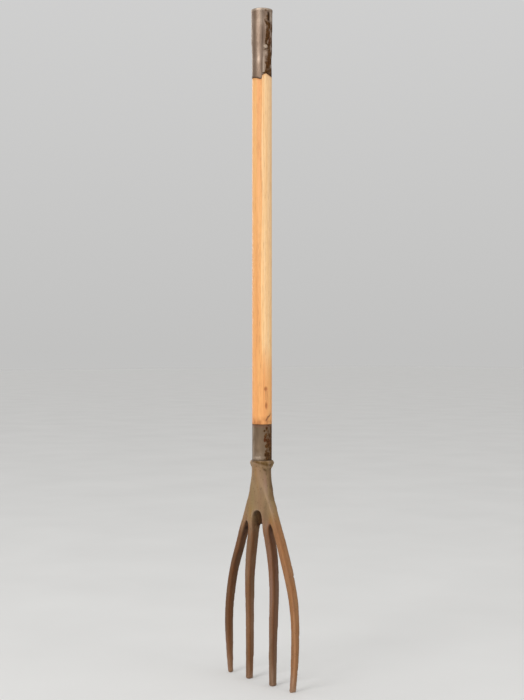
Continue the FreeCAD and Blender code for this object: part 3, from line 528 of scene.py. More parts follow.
    # dark lower edge and seam, plus painted shade: the dark inside of the tear
    edge_dark = 0.95 * np.exp(-(zz - np.repeat(low, nv)) / 1.5) + 1.6 * open_ + 0.55 * corner
    rubbed = np.exp(-((past - 9.0) / 6.5) ** 2) * smoothstep(1064.0, 1056.0, zz) * (p < 0.0)
    red = 0.8 * np.exp(-((arc - 8.2) / 2.5) ** 2 - ((zz - 1086.0) / 4.0) ** 2) + 0.22 * np.exp(-((arc - 5.0) / 5.0) ** 2 - ((zz - 1049.0) / 7.0) ** 2) + 0.12 * np.exp(-((zz - 1099.0) / 9.0) ** 2) * weather
    wear_and_highlight = 0.5 * rubbed + 0.34 * dent + 0.34 * np.exp(-(away / 4.2) ** 2) + 0.9 * np.exp(-((arc - 11.6) / 2.2) ** 2) * smoothstep(1117, 1122, zz) * (1 - smoothstep(1134, 1138, zz)) + 0.5 * smoothstep(1136.0, 1139.5, zz)
    # painted highlights: a bright strip down the left-hand edge, and a broad one on the front near the rim
    wear_and_highlight = wear_and_highlight + 0.40 * np.exp(-(turn_gap(p, -27.0) / 9.0) ** 2) * (0.7 + 0.6 * noise(flat / (4.0, 4.0, 20.0), 51))
    wear_and_highlight = wear_and_highlight + 0.30 * np.exp(-(turn_gap(p, 44.0) / 15.0) ** 2) * smoothstep(1106.0, 1120.0, zz)
    # painted reflection: a darker band down the sleeve's front-left, where it mirrors a dark part of the room
    painted_dark_band = 0.55 * np.exp(-(turn_gap(p, 5.0 + 6.0 * np.sin(zz / 19.0)) / 12.0) ** 2) * (0.75 + 0.5 * noise(flat / (5.0, 5.0, 24.0), 52)) * (1 - 0.45 * np.exp(-((zz - 1054.0) / 12.0) ** 2))
    both = lambda a: np.clip(np.concatenate([a, a]), 0, 1)
    return piece("sleeve_top", co, faces, "upper_sleeve",
                 {"rust": both(rust), "red": both(red), "grime_and_shade": both(edge_dark), "wear_and_highlight": both(wear_and_highlight), "stain": both(0 * rust), "painted_dark_band": both(painted_dark_band)})


# ---------------------------------------------------------------- pin and rivet

def peened(name, cad, slot, length, rows_at, centre, direction, seed, squash):
    """A bar along a direction with beaten ends. rows_at lists (distance along, radius) from one end to the other."""
    ns = 48
    turn = np.arange(ns) * 2 * math.pi / ns
    ax = Vector(direction).normalized()
    up = Vector((0, 0, 1))
    side = ax.cross(up).normalized()
    rows = []
    for x, r in rows_at:
        c = np.array(centre) + np.array(ax) * x
        rows.append(c + r * (np.cos(turn)[:, None] * np.array(side) + squash * np.sin(turn)[:, None] * np.array(up)))
    rows = np.array(rows)
    e0 = np.array(centre) + np.array(ax) * rows_at[0][0]
    e1 = np.array(centre) + np.array(ax) * rows_at[-1][0]
    co, faces = rings(rows, poles=(e0, e1))
    rel = co - np.array(centre)
    x = rel @ np.array(ax)
    radial = rel - x[:, None] * np.array(ax)
    rr = np.linalg.norm(radial, axis=1)
    head = smoothstep(length / 2 - 1.9, length / 2 - 1.0, np.abs(x))
    facet, second, val = cells(co / 1.7, seed)
    co = co + np.sign(x)[:, None] * np.array(ax) * (head * (-0.16 * np.exp(-(facet / 0.4) ** 2) - 0.08 * np.maximum(0, noise(co / 1.1, seed + 1))))[:, None]
    unit = radial / np.maximum(rr, 1e-6)[:, None]
    co = co + unit * (head * 0.12 * noise(co / 2.2, seed + 2) * smoothstep(0.5, 2.0, rr))[:, None]
    return co, faces, head, x


def build_pin():
    half = 16.80
    rows = [(-half, 0.9), (-half + 0.03, 1.7), (-half + 0.12, 2.25), (-half + 0.32, 2.46)]
    rows += [(v, 2.42) for v in np.linspace(-half + 0.7, half - 0.7, 36)]
    rows += [(half - 0.32, 2.46), (half - 0.12, 2.25), (half - 0.03, 1.7), (half, 0.9)]
    co, faces, head, x = peened("pin_tang", "tang_pin", "rivet_steel", 2 * half, rows, (0, 0, 386.0), (1, 0, 0), 51, 1.0)
    rust = 0.75 + 0.3 * noise(co / 1.5, 53)
    return piece("pin_tang", co, faces, "tang_pin",
                 {"rust": np.clip(rust, 0, 1), "red": np.clip(0.3 + 0 * x, 0, 1), "grime_and_shade": np.clip(0.5 * head, 0, 1), "wear_and_highlight": 0.12 * head, "stain": 0 * x, "painted_dark_band": 0 * x})


def build_rivet():
    phi = math.radians(71.0)
    direction = (math.sin(phi), -math.cos(phi), 0.0)
    top, foot = 18.72, 17.14
    dome = []
    for k in range(12):
        a = math.radians(7.0 + 83.0 * k / 11.0)
        dome.append((top - (top - foot - 0.25) * (1 - math.cos(a)), 3.62 * math.sin(a)))
    dome.append((foot + 0.02, 3.58))
    dome.append((foot - 0.03, 3.2))
    dome.append((foot - 0.05, 2.05))
    rows = [(-x, r) for x, r in dome]
    rows += [(v, 1.96) for v in np.linspace(-foot + 0.8, foot - 0.8, 34)]
    rows += [(x, r) for x, r in reversed(dome)]
    co, faces, head, x = peened("rivet_sleeve", "sleeve_rivet", "rivet_steel", 2 * top, rows, (0, 0, 1076.0), direction, 55, 0.95)
    rim = np.exp(-((np.abs(x) - foot) / 0.45) ** 2)
    return piece("rivet_sleeve", co, faces, "sleeve_rivet",
                 {"rust": np.clip(0.35 * rim + 0.2 * noise(co / 2.0, 57), 0, 1), "red": 0 * x, "grime_and_shade": np.clip(0.9 * rim, 0, 1),
                  "wear_and_highlight": np.clip(0.55 * head * (1 - rim), 0, 1), "stain": 0 * x, "painted_dark_band": 0 * x})


# ---------------------------------------------------------------- fork head, forged in one

def tine_sections(co):
    """Which tine a point below the crown is on (0 to 3 from the left), and its place across and through that tine's section, in mm from the middle, with the half sizes."""
    x, y, z = co.T
    between = table(z, [0.0, 100.0, 150.0, 200.0, 225.0, 250.0, 272.0], [58.0, 60.0, 57.5, 50.0, 43.5, 36.5, 31.7])
    which = np.where(x < -between, 0, np.where(x < 0, 1, np.where(x < between, 2, 3)))
    step, n = 3.0, 98
    bins = np.clip((z / step).astype(int), 0, n - 1)
    low = z < step * n
    out = np.zeros((4, len(co)))
    for k in range(4):
        m = low & (which == k)
        ends = []
        for v in (x, y):
            lo, hi = np.full(n, 1e9), np.full(n, -1e9)
            np.minimum.at(lo, bins[m], v[m])
            np.maximum.at(hi, bins[m], v[m])
            level = (np.arange(n) + 0.5) * step
            ends += [np.interp(z, level, lo), np.interp(z, level, hi)]
        x0, x1, y0, y1 = ends
        mine = which == k
        for row, value in enumerate((x - (x0 + x1) / 2, y - (y0 + y1) / 2, (x1 - x0) / 2, (y1 - y0) / 2)):
            out[row] = np.where(mine, value, out[row])
    return (which,) + tuple(out)


def build_head():
    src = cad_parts["fork_head"]
    me = src.data.copy()
    bm = bmesh.new()
    bm.from_mesh(me)
    bmesh.ops.remove_doubles(bm, verts=bm.verts, dist=0.00002)
    bm.to_mesh(me)
    bm.free()
    tmp = bpy.data.objects.new("head_tmp", me)
    bpy.context.scene.collection.objects.link(tmp)
    mod = tmp.modifiers.new("remesh", "REMESH")
    mod.mode = "VOXEL"
    mod.voxel_size = 0.00098
    mod.adaptivity = 0.0
    dg = bpy.context.evaluated_depsgraph_get()
    fine = bpy.data.meshes.new_from_object(tmp.evaluated_get(dg))
    bpy.data.objects.remove(tmp)
    co = points_of(fine) / MM
    edges = edges_of(fine)
    co = relax(co, edges, 4, 0.5)
    # back onto the true faces, then only the edges are eased
    src.data.calc_loop_triangles()
    tree = BVHTree.FromPolygons([v.co / MM for v in src.data.vertices], [t.vertices for t in src.data.loop_triangles])
    co = np.array([tree.find_nearest(Vector(c))[0] for c in co])
    x, y, z = co.T
    # the middle crotch is opened out on its left-hand front edge, where the tines were driven apart
    opened = table(z, [236.0, 247.0, 257.0, 268.0, 280.0, 288.0, 293.0, 300.0], [0.0, 0.9, 3.0, 6.8, 6.8, 5.4, 2.6, 0.0])
    opened = opened * smoothstep(5.2, -8.0, y) * smoothstep(-29.0, -14.0, x) * (1 - smoothstep(-9.0, 7.0, x))
    co = co - np.stack([opened, 0 * x, 0 * x], -1)
    sharp = np.maximum(smoothstep(7.0, 3.0, z), smoothstep(360.0, 364.0, z))
    co = relax(co, edges, 3, 0.5, 1 - 0.9 * sharp)
    co = relax(co, edges, 5, 0.5, smoothstep(300.0, 280.0, z) * (1 - sharp))
    drawn = smoothstep(298.0, 320.0, z) * (1 - smoothstep(352.0, 362.0, z))
    co = relax(co, edges, 34, 0.6, drawn)

    def put(points):
        fine.vertices.foreach_set("co", (points * MM).ravel())
        fine.update()

    put(co)
    n = normals(fine)
    co = co + n * (0.12 + 0.16 * smoothstep(300.0, 280.0, co[:, 2]) * (1 - sharp) + 0.30 * drawn)[:, None]
    soft = relax(co, edges, 26, 0.6)
    bend = ((co - soft) * n).sum(1)                     # above 0 on edges, below 0 in corners
    x, y, z = co.T
    phi = np.degrees(np.arctan2(x, -y))
    body = smoothstep(377.5, 374.0, z)                  # everything but the tang
    tines = smoothstep(285.0, 250.0, z)
    neck = smoothstep(300.0, 318.0, z) * body
    # hammer work: broad flats with soft borders, slow waves, then scale and pits
    f1, f2, _ = cells(co / (11.0, 11.0, 15.0), 61)
    d = 0.30 * (f1 ** 2 - 0.25) * (0.55 + 0.45 * (1 - tines))
    d += 0.32 * noise(co / (30.0, 30.0, 42.0), 62) * (0.5 + 0.5 * (1 - tines))
    d += 0.11 * noise(co / (9.0, 9.0, 30.0), 63) * tines
    d += 0.07 * fbm(co / (3.6, 3.6, 6.5), 2, 64)
    pit, _, val = cells(co / 4.2, 66)
    d -= 0.26 * np.exp(-(pit / 0.26) ** 2) * (val > 0.70)
    pit2, _, val2 = cells(co / 2.4, 67)
    d -= 0.10 * np.exp(-(pit2 / 0.30) ** 2) * (val2 > 0.55)
    # the tines' side faces are a little hollow between their edges, as a fuller leaves them
    side = np.abs(n[:, 0]) * tines * smoothstep(20.0, 40.0, z)
    d -= 0.30 * side * smoothstep(4.6, 1.0, np.abs(y + 1.6))
    # notches and knocks along the outer edges
    rng = np.random.RandomState(68)
    edge = smoothstep(0.10, 0.45, bend)
    knock, _, kv = cells(co / 7.5, 69)
    d -= 0.42 * edge * np.exp(-(knock / 0.24) ** 2) * (kv > 0.62)
    d -= 1.1 * np.exp(-((z - 189.0) / 1.6) ** 2 - ((x - 78.0) / 3.0) ** 2 - ((y - 4.5) / 3.0) ** 2)
    # collar: uneven facets, and the cold shut that winds across its face
    arc = np.radians(turn_gap(phi, 51.0)) * 19.5
    collar = smoothstep(363.0, 366.5, z) * body
    cc = np.stack([x / 8.0, y / 8.0, z / 5.0], -1)
    d += 0.30 * noise(cc, 70) * collar
    fold, fa = near_line(arc, z, [(-24.0, 375.4), (-15.5, 375.8), (-11.0, 375.0), (-7.0, 373.8), (0.0, 372.2), (6.0, 370.6), (11.0, 369.2), (16.0, 368.2), (22.0, 369.4)])
    level = table(arc, [-24.0, -15.5, -11.0, -7.0, 0.0, 6.0, 11.0, 16.0, 22.0], [375.4, 375.8, 375.0, 373.8, 372.2, 370.6, 369.2, 368.2, 369.4])
    d -= 1.05 * np.exp(-(fold / 1.05) ** 2) * collar
    d -= 0.85 * np.exp(-((z - level - 2.2) / 1.9) ** 2) * collar * (np.abs(arc) < 24.0) * smoothstep(-19.0, -14.0, arc)
    d += 0.50 * np.exp(-((level - z - 2.0) / 1.2) ** 2) * collar * (np.abs(arc) < 24.0)
    fold2, fb = near_line(np.radians(turn_gap(phi, 231.0)) * 19.5, z, [(-24.0, 370.0), (-12.0, 368.4), (-2.0, 371.5), (9.0, 374.6), (22.0, 372.6)])
    d -= 0.45 * np.exp(-(fold2 / 0.85) ** 2) * collar
    # the dint under the collar, right of the middle
    d -= 0.5 * np.exp(-((arc - 5.0) / 3.4) ** 2 - ((z - 361.5 + 0.5 * (arc - 5.0)) / 2.0) ** 2)
    d -= 0.35 * np.exp(-((arc - 9.0) / 2.2) ** 2 - ((z - 354.5) / 2.6) ** 2)
    # drawn in a little on the far side of the neck
    d -= 1.7 * np.maximum(0, np.cos(np.radians(turn_gap(phi, 136.0)))) ** 1.5 * smoothstep(326.0, 342.0, z) * (1 - smoothstep(361.0, 366.0, z))
    d -= 0.25 * np.exp(-((arc + 3.0) / 2.6) ** 2 - ((z - 329.0) / 2.4) ** 2)
    d *= body
    moved = co + n * d[:, None]
    tip = smoothstep(6.0, 0.5, z)
    moved[:, 2] += tip * 0.35 * np.maximum(0, noise(co / (3.5, 3.5, 40.0), 71))
    moved = relax(moved, edges, 1, 0.35)
    # the seat for the ferrule stays flat, and the head stays inside its size
    rim = (z > 374.5) & (z < 378.5) & (np.hypot(x, y) > 10.0)
    moved[rim, 2] = np.minimum(moved[rim, 2], 376.95)
    moved[:, 0] = np.clip(moved[:, 0], -93.86, 94.04)
    moved[:, 1] = np.clip(moved[:, 1], -20.75, 20.75)
    moved[:, 2] = np.clip(moved[:, 2], 0.02, 477.9)
    put(moved)
    # fields for the finish
    x, y, z = moved.T
    n = normals(fine)
    wide = relax(moved, edges, 60, 0.6)
    hollow = np.clip(-((moved - wide) * n).sum(1) / 1.2, 0, 1)
    edge_wear_and_sheen = np.clip((bend - 0.08) / 0.55, 0, 1)
    edge_wear_and_sheen *= 0.22 + 0.5 * smoothstep(40.0, 15.0, z) + 0.35 * np.exp(-((z - 288.0) / 8.0) ** 2) + 0.25 * smoothstep(363.0, 367.0, z)
    # painted shade: darker in the crotches, deeper towards the back, and over the back of the middle arch's web
    crotch = np.exp(-(((x + 3.0) / 15.0) ** 4 + ((z - 279.0) / 21.0) ** 4))
    for s in (-1, 1):
        crotch = np.maximum(crotch, np.exp(-(((x - s * (32.5 + 0.45 * (268.0 - z))) / 9.0) ** 4 + ((z - 259.0) / 17.0) ** 4)))
    facing = 1 - smoothstep(0.45, 0.9, np.abs(n[:, 1]))
    dark = np.clip(crotch * facing * 1.3, 0, 1) * (0.45 + 0.55 * smoothstep(-7.5, -2.0, y))
    inside = smoothstep(-7.8, -4.0, y) * smoothstep(16.5, 12.5, np.abs(x)) * smoothstep(256.0, 266.0, z) * smoothstep(300.0, 292.0, z) * (n[:, 1] < 0.6)
    dark = np.clip(dark * (0.85 + 0.4 * noise(co / 5.0, 77)), 0, 1)
    dark = np.maximum(dark, inside)
    # the painted shade clears again from the outer tine's inner flank below its crotch
    dark *= 1 - 0.75 * (x < -38.0) * smoothstep(256.0, 246.0, z) * smoothstep(-5.0, 2.0, y)
    cold = np.exp(-(fold / 2.1) ** 4) * smoothstep(363.0, 366.0, z)
    cold = np.maximum(cold, 0.30 * smoothstep(-0.6, 0.6, z - level) * (1 - smoothstep(5.0, 6.5, z - level)) * smoothstep(363.0, 366.0, z) * (0.75 + 0.5 * noise(co / 3.0, 74)) * smoothstep(-20.0, -14.0, arc))
    cold = np.clip(cold * (1 - 0.55 * smoothstep(9.0, 14.0, arc)), 0, 1)
    soil = smoothstep(-19.5, -15.5, arc) * (1 - smoothstep(9.0, 14.0, arc)) * smoothstep(-1.6, 0.4, z - level + 0.9) * smoothstep(364.0, 367.0, z) * body
    soil = np.clip(soil * (0.95 + 0.5 * noise(co / 4.0, 79)), 0, 1)
    # soil and rust down the weather side of the neck, and the smear from the dint
    weather = smoothstep(72.0, 112.0, phi + 12.0 * noise(co / 9.0, 75)) * (1 - smoothstep(165.0, 200.0, phi)) * smoothstep(300.0, 335.0, z) * (1 - 0.7 * smoothstep(362.0, 366.0, z)) * body
    smear = np.exp(-((arc - 7.5) / 6.0) ** 2 - ((z - 360.5 + 0.35 * (arc - 7.5)) / 3.6) ** 2)
    ochre = (np.exp(-((arc + 9.5) / 3.0) ** 2 - ((z - 334.0) / 9.0) ** 2) * 0.8 + 0.45 * np.exp(-((arc + 13.0) / 4.0) ** 2 - ((z - 356.0) / 9.0) ** 2)
             + 0.8 * np.exp(-((x + 21.0) / 4.5) ** 2 - ((z - 285.0) / 13.0) ** 2) + 0.6 * np.exp(-((x - 37.0) / 7.0) ** 2 - ((z - 276.0) / 18.0) ** 2)) * body
    grime_and_shade = np.clip(0.95 * cold + 0.55 * weather + 0.45 * smear + 0.9 * hollow * body + 0.8 * np.exp(-((z - 376.9) / 0.8) ** 2) * (np.hypot(x, y) < 18.2)
                    + 0.55 * np.exp(-((arc - 5.0) / 3.4) ** 2 - ((z - 361.5 + 0.5 * (arc - 5.0)) / 1.8) ** 2)
                    + 0.5 * np.exp(-((arc - 9.0) / 1.8) ** 2 - ((z - 354.5) / 2.4) ** 2)
                    + 0.3 * np.exp(-((arc + 3.0) / 2.2) ** 2 - ((z - 329.0) / 2.0) ** 2), 0, 1)
    # on the crown's right cheek: a painted highlight band just behind the front corner, added to the edge wear, and
    # painted shade further back, added to the grime
    cheek = smoothstep(0.15, 0.6, n[:, 0]) * smoothstep(272.0, 290.0, z) * (1 - smoothstep(332.0, 350.0, z))
    edge_wear_and_sheen = np.clip(edge_wear_and_sheen + 0.55 * cheek * np.exp(-((y + 7.5) / 3.6) ** 2), 0, 1)
    grime_and_shade = np.clip(grime_and_shade + 0.42 * cheek * smoothstep(-3.0, 7.0, y + 2.0 * noise(co / 7.0, 78)), 0, 1)
    # each tip has its own wear
    tipworn = smoothstep(16.0, 2.0, z + 5.0 * noise(co / 5.0, 73)) * np.where(x > 60.0, 1.0, np.where(x > 0.0, 0.25, 0.6))
    # painted shade: the tines' side faces made darker, the +X ones most
    painted_flank_shade = (np.clip(n[:, 0], 0, 1) + 0.6 * np.clip(-n[:, 0], 0, 1)) * tines
    which, across, through, hw, hd = tine_sections(moved)
    reach = smoothstep(292.0, 262.0, z)
    for_side = hw - np.abs(across)                       # mm in from the nearer flank
    for_front = through + hd                             # mm back from the front face
    wander = 1.2 * noise(np.stack([which * 3.7, 0 * z, z / 34.0], -1), 76)
    streak = np.exp(-(for_side / 1.8) ** 2) * np.exp(-((for_front - 2.6 - wander) / 3.0) ** 2)
    streak = np.maximum(streak, np.exp(-(for_front / 1.6) ** 2) * np.exp(-((for_side - 0.8 + wander) / 2.6) ** 2)) * reach
    painted_flank_shade *= table(z, [0.0, 110.0, 170.0, 300.0], [0.45, 0.55, 0.95, 1.0])
    ashen_and_lit = np.choose(which, [table(z, [0.0, 70.0, 120.0, 270.0], [0.9, 0.75, 0.2, 0.0]), 0.15 + 0 * z, table(z, [0.0, 100.0, 170.0, 270.0], [0.85, 0.7, 0.35, 0.1]), 0 * z]) * smoothstep(270.0, 240.0, z)
    # painted light: tine A's inner flank below its crotch made paler, and its painted flank shade lifted there
    ashen_and_lit = np.maximum(ashen_and_lit, 0.8 * (which == 0) * np.exp(-((z - 240.0) / 14.0) ** 2) * smoothstep(-1.0, 3.0, through) * (n[:, 0] > 0.2))
    painted_flank_shade *= 1 - 0.8 * (which == 0) * np.exp(-((z - 241.0) / 13.0) ** 2) * smoothstep(-2.0, 3.0, through)
    ashen_and_lit = np.maximum(ashen_and_lit, 0.55 * np.exp(-((arc - 0.5) / 6.5) ** 2) * smoothstep(312.0, 326.0, z) * (1 - smoothstep(360.0, 366.0, z)) * body)
    lit = np.where(which == 3, 1.0, 0.0) * table(z, [0.0, 20.0, 60.0, 125.0, 150.0, 300.0], [0.35, 0.8, 1.0, 0.7, 0.25, 0.15]) * smoothstep(0.1, 0.5, n[:, 0]) * np.exp(-((for_front - 2.4 - 0.6 * wander) / 2.1) ** 2)
    backedge = np.exp(-(for_side / 2.0) ** 2) * smoothstep(0.25, 0.75, through / np.maximum(hd, 1.0)) * reach
    # some tines are darker than others, the left-hand one most
    tine_darkening = np.choose(which, [table(z, [0.0, 40.0, 90.0, 150.0, 270.0], [0.25, 0.40, 0.80, 0.95, 0.85]), 0.42 + 0 * z,
                            table(z, [0.0, 60.0, 150.0, 270.0], [0.45, 0.48, 0.45, 0.45]), table(z, [0.0, 60.0, 120.0, 270.0], [0.22, 0.08, 0.02, 0.0])]) * smoothstep(274.0, 238.0, z)
    warm = np.where(which == 3, 1.0, 0.0) * smoothstep(290.0, 262.0, z)
    mauve = np.choose(which, [table(z, [0.0, 45.0, 90.0, 270.0], [0.8, 0.8, 0.15, 0.1]), table(z, [0.0, 60.0, 110.0, 150.0, 270.0], [0.1, 0.2, 0.7, 0.2, 0.1]),
                              table(z, [0.0, 70.0, 150.0, 250.0], [0.1, 0.4, 0.9, 0.7]), 0.1 + 0 * z]) * smoothstep(286.0, 262.0, z)
    mauve += (1 - tines) * 0.5 * np.exp(-((arc - 6.0) / 3.0) ** 2 - ((z - 340.0) / 16.0) ** 2) * (z > 300.0)
    head = bpy.data.objects.new("head_forged", fine)
    fine.name = "head_forged"
    bpy.context.scene.collection.objects.link(head)
    fine.materials.clear()
    for key, value in {"edge_wear_and_sheen": edge_wear_and_sheen, "dark": dark, "grime_and_shade": grime_and_shade, "tipworn": tipworn, "tines": tines, "painted_flank_shade": painted_flank_shade, "body": body, "tine_darkening": np.clip(tine_darkening, 0, 1), "warm": warm,
                       "streak": np.clip(streak, 0, 1), "backedge": np.clip(backedge, 0, 1), "mauve": np.clip(mauve, 0, 1), "ochre": np.clip(ochre, 0, 1),
                       "ashen_and_lit": np.clip(ashen_and_lit, 0, 1), "lit": np.clip(lit, 0, 1), "soil": soil}.items():
        give(head, key, value)
    fine.polygons.foreach_set("use_smooth", np.ones(len(fine.polygons), bool))
    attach(head, "root")
    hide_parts("fork_head")
    return head


# ---------------------------------------------------------------- finishes

def rgb(r, g, b):
    """Display colour, 0-255, to the linear colour that nodes use."""
    f = lambda v: v / 12.92 if v <= 0.04045 else ((v + 0.055) / 1.055) ** 2.4
    return (f(r / 255.0), f(g / 255.0), f(b / 255.0), 1.0)


class Finish:
    def __init__(self, name):
        self.mat = bpy.data.materials.new(name)
        self.mat.use_nodes = True
        self.t = self.mat.node_tree
        self.t.nodes.clear()
        self.out = self.t.nodes.new("ShaderNodeOutputMaterial")
        self.bsdf = self.t.nodes.new("ShaderNodeBsdfPrincipled")
        self.t.links.new(self.bsdf.outputs[0], self.out.inputs[0])
        self.co = self.t.nodes.new("ShaderNodeTexCoord").outputs["Object"]

    def put(self, socket, value):
        if isinstance(value, bpy.types.NodeSocket):
            self.t.links.new(value, socket)
        else:
            socket.default_value = value

    def set(self, name, value):
        self.put(self.bsdf.inputs[name], value)

    def mapped(self, scale, turn=(0, 0, 0), shift=(0, 0, 0), source=None):
        m = self.t.nodes.new("ShaderNodeMapping")
        self.t.links.new(source or self.co, m.inputs["Vector"])
        m.inputs["Scale"].default_value = scale
        m.inputs["Rotation"].default_value = [math.radians(v) for v in turn]
        m.inputs["Location"].default_value = shift
        return m.outputs[0]

    def noise(self, scale, detail=3.0, rough=0.5, distort=0.0, shift=(0, 0, 0), source=None):
        n = self.t.nodes.new("ShaderNodeTexNoise")
        self.t.links.new(self.mapped(scale, shift=shift, source=source), n.inputs["Vector"])
        n.inputs["Scale"].default_value = 1.0
        n.inputs["Detail"].default_value = detail
        n.inputs["Roughness"].default_value = rough
        n.inputs["Distortion"].default_value = distort
        return n.outputs[0]

    def cells(self, scale, feature="F1", randomness=1.0, source=None):
        n = self.t.nodes.new("ShaderNodeTexVoronoi")
        n.feature = feature
        self.t.links.new(self.mapped(scale, source=source), n.inputs["Vector"])
        n.inputs["Scale"].default_value = 1.0
        n.inputs["Randomness"].default_value = randomness
        return n.outputs["Distance"]

    def ramp(self, fac, stops, mode="LINEAR"):
        n = self.t.nodes.new("ShaderNodeValToRGB")
        n.color_ramp.interpolation = mode
        e = n.color_ramp.elements
        while len(e) < len(stops):
            e.new(0.5)
        for k, (pos, value) in enumerate(stops):
            e[k].position = pos
            e[k].color = value if isinstance(value, tuple) else (value, value, value, 1.0)
        self.put(n.inputs[0], fac)
        return n.outputs[0]

    def math(self, op, a, b=0.0, clamp=False):
        n = self.t.nodes.new("ShaderNodeMath")
        n.operation = op
        n.use_clamp = clamp
        self.put(n.inputs[0], a)
        self.put(n.inputs[1], b)
        return n.outputs[0]

    def mix(self, fac, a, b, blend="MIX"):
        n = self.t.nodes.new("ShaderNodeMix")
        n.data_type = "RGBA"
        n.blend_type = blend
        self.put(n.inputs[0], fac)
        self.put(n.inputs[6], a)
        self.put(n.inputs[7], b)
        return n.outputs[2]

    def field(self, name):
        n = self.t.nodes.new("ShaderNodeAttribute")
        n.attribute_name = name
        return n.outputs["Fac"]

    def bump(self, height, distance, strength=1.0, normal=None):
        n = self.t.nodes.new("ShaderNodeBump")
        n.inputs["Strength"].default_value = strength
        n.inputs["Distance"].default_value = distance
        self.t.links.new(height, n.inputs["Height"])
        if normal is not None:
            self.t.links.new(normal, n.inputs["Normal"])
        return n.outputs[0]

    def on(self, ob):
        ob.data.materials.clear()
        ob.data.materials.append(self.mat)


def ash_wood():
    f = Finish("ash_wood")
    # the tree's rings: shells round a pith that lies outside the stick, wandering slowly along it
    drift = f.noise((6, 6, 1.6), 2.0, 0.5)
    sway = f.t.nodes.new("ShaderNodeVectorMath")
    sway.operation = "MULTIPLY_ADD"
    comb = f.t.nodes.new("ShaderNodeCombineXYZ")
    f.put(comb.inputs[0], drift)
    f.put(comb.inputs[1], f.noise((5, 5, 1.3), 2.0, 0.5, shift=(3, 1, 2)))
    f.t.links.new(comb.outputs[0], sway.inputs[0])
    sway.inputs[1].default_value = (0.030, 0.022, 0.0)
    flat = f.mapped((1, 1, 0.0), shift=(-0.052, 0.061, 0.0))
    f.t.links.new(flat, sway.inputs[2])
    length = f.t.nodes.new("ShaderNodeVectorMath")
    length.operation = "LENGTH"
    f.t.links.new(sway.outputs[0], length.inputs[0])
    ring = f.math("FRACT", f.math("MULTIPLY", length.outputs["Value"], 1.0 / 0.0027))
    early = f.ramp(ring, [(0.0, 1.0), (0.10, 0.85), (0.34, 0.16), (0.80, 0.0), (0.93, 0.10), (1.0, 0.9)])
    # pores: short dark dashes along the fibre, crowded into the early wood
    pore = f.noise((1500, 1500, 60), 2.0, 0.6)
    pores = f.ramp(pore, [(0.54, 0.0), (0.66, 1.0)])
    pores = f.math("MULTIPLY", pores, f.math("MULTIPLY_ADD", early, 0.85), clamp=True)
    f.t.nodes[-1].inputs[2].default_value = 0.15 if f.t.nodes[-1].operation == "MULTIPLY_ADD" else 0.0
    streak = f.noise((210, 210, 3.2), 3.0, 0.55, 0.3)
    wide = f.noise((95, 95, 2.1), 2.0, 0.5, 0.2, shift=(4, 2, 7))
    fine = f.noise((900, 900, 14), 3.0, 0.6)
    heart = f.ramp(streak, [(0.30, rgb(222, 146, 82)), (0.50, rgb(236, 165, 100)), (0.72, rgb(243, 182, 120))])
    sap = f.ramp(streak, [(0.30, rgb(241, 185, 124)), (0.52, rgb(250, 205, 149)), (0.72, rgb(253, 217, 167))])
    pale = f.math("MULTIPLY_ADD", f.field("pale"), 1.0)
    edge = f.ramp(f.math("ADD", f.field("pale"), f.math("MULTIPLY", f.math("SUBTRACT", wide, 0.5), 0.35)), [(0.28, 0.0), (0.62, 1.0)])
    col = f.mix(edge, heart, sap)
    col = f.mix(f.ramp(wide, [(0.35, 0.0), (0.66, 0.40)]), col, rgb(246, 200, 122))
    col = f.mix(f.math("MULTIPLY", early, 0.16), col, rgb(204, 130, 68))
    col = f.mix(f.math("MULTIPLY", f.ramp(fine, [(0.45, 0.0), (0.75, 1.0)]), 0.16), col, rgb(205, 138, 80))
    col = f.mix(f.math("MULTIPLY", pores, 0.42), col, rgb(150, 88, 44))
    # darker where hands and soil reach, over knots, in cracks, with dirt by the ferrule and painted shadow under the
    # sleeve's edge
    soil = f.noise((70, 70, 30), 4.0, 0.65)
    col = f.mix(f.math("MULTIPLY", f.field("handled"), f.ramp(soil, [(0.30, 0.35), (0.62, 1.0)])), col, rgb(232, 158, 92))
    col = f.mix(f.ramp(f.math("MULTIPLY", f.field("knot"), f.math("ADD", fine, 0.45)), [(0.12, 0.0), (0.75, 0.9)]), col, rgb(166, 98, 46))
    col = f.mix(f.ramp(f.math("MULTIPLY", f.field("dirt_and_shadow"), f.math("ADD", soil, 0.5)), [(0.10, 0.0), (0.85, 0.85)]), col, rgb(158, 92, 42))
    col = f.mix(f.math("MULTIPLY", f.field("crack"), 0.86), col, rgb(108, 60, 26))
    col = f.mix(f.field("endgrain"), col, f.mix(early, rgb(176, 126, 80), rgb(110, 70, 40)))
    part = f.t.nodes.new("ShaderNodeSeparateXYZ")
    f.t.links.new(f.co, part.inputs[0])
    col = f.mix(1.0, col, f.ramp(part.outputs[2], [(0.45, (0.985, 0.975, 0.97, 1)), (0.85, (0.925, 0.93, 0.95, 1))]), "MULTIPLY")
    f.set("Base Color", col)
    f.set("Roughness", f.ramp(f.math("ADD", fine, f.math("MULTIPLY", f.field("dirt_and_shadow"), 0.3)), [(0.3, 0.40), (0.8, 0.60)]))
    f.bsdf.inputs["Specular IOR Level"].default_value = 0.38
    b = f.bump(f.math("ADD", f.math("MULTIPLY", early, -0.7), f.math("MULTIPLY", pores, -1.0)), 0.00008, 0.7)
    b = f.bump(fine, 0.00010, 0.5, b)
    b = f.bump(streak, 0.0004, 0.25, b)
    f.set("Normal", b)
    return f


